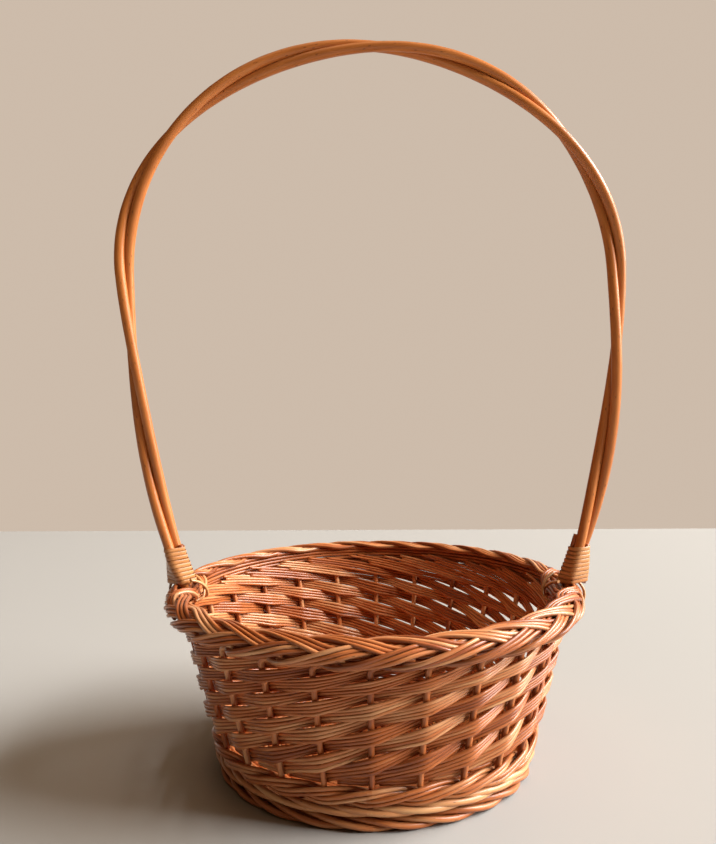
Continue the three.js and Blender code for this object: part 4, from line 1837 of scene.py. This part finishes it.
KEY_LAMP = Lamp(
    "key_lamp", place=(5.2, 0.45, 3.9), wide=6.0, high=2.1, power=1080.0, colour=(1.0, 0.99, 0.96)
)
LOW_LAMP = Lamp(
    "low_lamp", place=(4.8, 0.4, 1.2), wide=4.2, high=1.35, power=210.0, colour=(1.0, 0.96, 0.9)
)
TOP_LAMP = Lamp(
    "top_lamp", place=(0.0, -0.1, 3.0), wide=2.4, high=2.4, power=27.0, colour=(1.0, 0.68, 0.40)
)


@dataclass(frozen=True)
class Studio:
    """Camera, lamps, table, backdrop and surround. Lengths here are metres."""

    frame_height: float = 844.0
    focal_pixels: float = 901.1
    sensor_height: float = 24.0
    clip_start: float = 0.01
    distance: float = 0.5046
    height: float = 0.2269
    pitch: float = math.radians(3.99)
    yaw: float = math.radians(0.882)
    roll: float = math.radians(-0.6)
    azimuth: float = math.radians(1.0)
    lamps: tuple[Lamp, ...] = (KEY_LAMP, LOW_LAMP, TOP_LAMP)
    aim_height: float = 0.12
    table_reach: float = 3.0
    table_edge: float = 0.682
    table_colour: Colour = (0.39, 0.383, 0.37)
    backdrop_far: float = 2.7
    backdrop_reach: float = 1.9
    backdrop_low: float = -0.6
    backdrop_high: float = 1.9
    backdrop_colour: Colour = (0.61, 0.50, 0.405)
    sheet_roughness: float = 0.9
    sheet_gloss: float = 0.1
    fill_colour: Colour = (1.0, 0.58, 0.30)
    fill_strength: float = 0.062

    def camera(self) -> None:
        """Puts the camera at the photograph's place, from the fit of the rim and the foot."""
        data = bpy.data.cameras.new("photo_camera")
        data.sensor_fit = "VERTICAL"
        data.sensor_height = self.sensor_height
        data.lens = self.sensor_height * self.focal_pixels / self.frame_height
        data.clip_start = self.clip_start
        camera = bpy.data.objects.new("photo_camera", data)
        camera.location = (
            self.distance * math.sin(self.azimuth),
            -self.distance * math.cos(self.azimuth),
            self.height,
        )
        heading = Matrix.Rotation(self.azimuth + self.yaw, 3, "Z")
        level = Matrix.Rotation(math.pi / 2 - self.pitch, 3, "X")
        turned = heading @ level @ Matrix.Rotation(self.roll, 3, "Z")
        camera.rotation_euler = turned.to_euler()
        bpy.context.scene.collection.objects.link(camera)
        bpy.context.scene.camera = camera

    def sheet(self, name: str, corners: list[Triple], colour: Colour, even: bool) -> None:
        """Adds one plain sheet of the set.

        An even sheet shows its colour to camera, glossy and transmission rays whatever the
        light. Other rays still meet its plain surface, so it sends no light of its own to the
        object.

        Args:
            name: Name of the sheet.
            corners: Its four corners in order.
            colour: Its plain colour.
            even: Whether it shows that colour evenly.
        """
        mesh = bpy.data.meshes.new(name)
        mesh.from_pydata(corners, [], [(0, 1, 2, 3)])
        material = bpy.data.materials.new(name)
        nodes = Nodes(material)
        shader = nodes.tree.nodes["Principled BSDF"]
        dressing = {
            "Base Color": (*colour, 1.0),
            "Roughness": self.sheet_roughness,
            "Specular IOR Level": self.sheet_gloss,
        }
        nodes.fill(shader, dressing)
        if even:
            glow = nodes.add("ShaderNodeEmission", {}, {"Color": (*colour, 1.0)}, "Emission")
            plain = Wire(nodes, shader.outputs["BSDF"])
            nodes.show(("Camera", "Glossy", "Transmission"), plain, glow, "Material Output")
        mesh.materials.append(material)
        sheet = bpy.data.objects.new(name, mesh)
        bpy.context.scene.collection.objects.link(sheet)

    def table(self) -> None:
        """Lays the table top, which ends where the photograph's does."""
        reach, edge = self.table_reach, self.table_edge
        corners = [(-reach, -reach, 0.0), (reach, -reach, 0.0), (reach, edge, 0.0), (-reach, edge, 0.0)]
        self.sheet("table_top", corners, self.table_colour, False)

    def backdrop(self) -> None:
        """Hangs the backdrop behind the table's far edge."""
        reach, far = self.backdrop_reach, self.backdrop_far
        low, high = self.backdrop_low, self.backdrop_high
        corners = [(-reach, far, low), (reach, far, low), (reach, far, high), (-reach, far, high)]
        self.sheet("backdrop", corners, self.backdrop_colour, True)

    def surround(self) -> None:
        """Fills the shade with warm light, and shows the backdrop's colour all round."""
        world = bpy.data.worlds.new("studio_world")
        nodes = Nodes(world)
        fill = nodes.tree.nodes["Background"]
        nodes.fill(fill, {"Color": (*self.fill_colour, 1.0), "Strength": self.fill_strength})
        inputs = {"Color": (*self.backdrop_colour, 1.0)}
        shown = nodes.add("ShaderNodeBackground", {}, inputs, "Background")
        nodes.show(("Camera",), Wire(nodes, fill.outputs["Background"]), shown, "World Output")
        bpy.context.scene.world = world

    def build(self) -> None:
        """Sets up the whole studio."""
        self.camera()
        self.table()
        self.backdrop()
        for lamp in self.lamps:
            lamp.hang(Vector((0.0, 0.0, self.aim_height)))
        self.surround()
        bpy.context.scene.view_settings.view_transform = "Standard"


@dataclass
class FlowerBasket:
    """The whole basket, sub-assembly by sub-assembly."""

    seed: int = 24
    wall: Wall = field(default_factory=Wall)
    roll: Roll = field(default_factory=Roll)

    def build(self) -> None:
        """Makes every piece from the table upwards."""
        hand = Hand(self.seed)
        upsett = Upsett(self.wall)
        handle = Handle(self.wall)
        FootBorder(self.wall).build(hand)
        Base(self.wall).build(hand)
        upsett.build(hand)
        Siding(self.wall, upsett.top).build(hand)
        Border(self.wall, self.roll).build(hand)
        handle.build(hand)
        for foot in Foot:
            Binding(self.wall, self.roll, handle, foot).build(hand)


def main() -> None:
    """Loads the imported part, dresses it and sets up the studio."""
    logging.basicConfig(level=logging.INFO, format="%(name)s: %(message)s")
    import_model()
    FlowerBasket().build()
    Studio().build()
    bpy.context.view_layer.update()


if __name__ == "__main__":
    main()
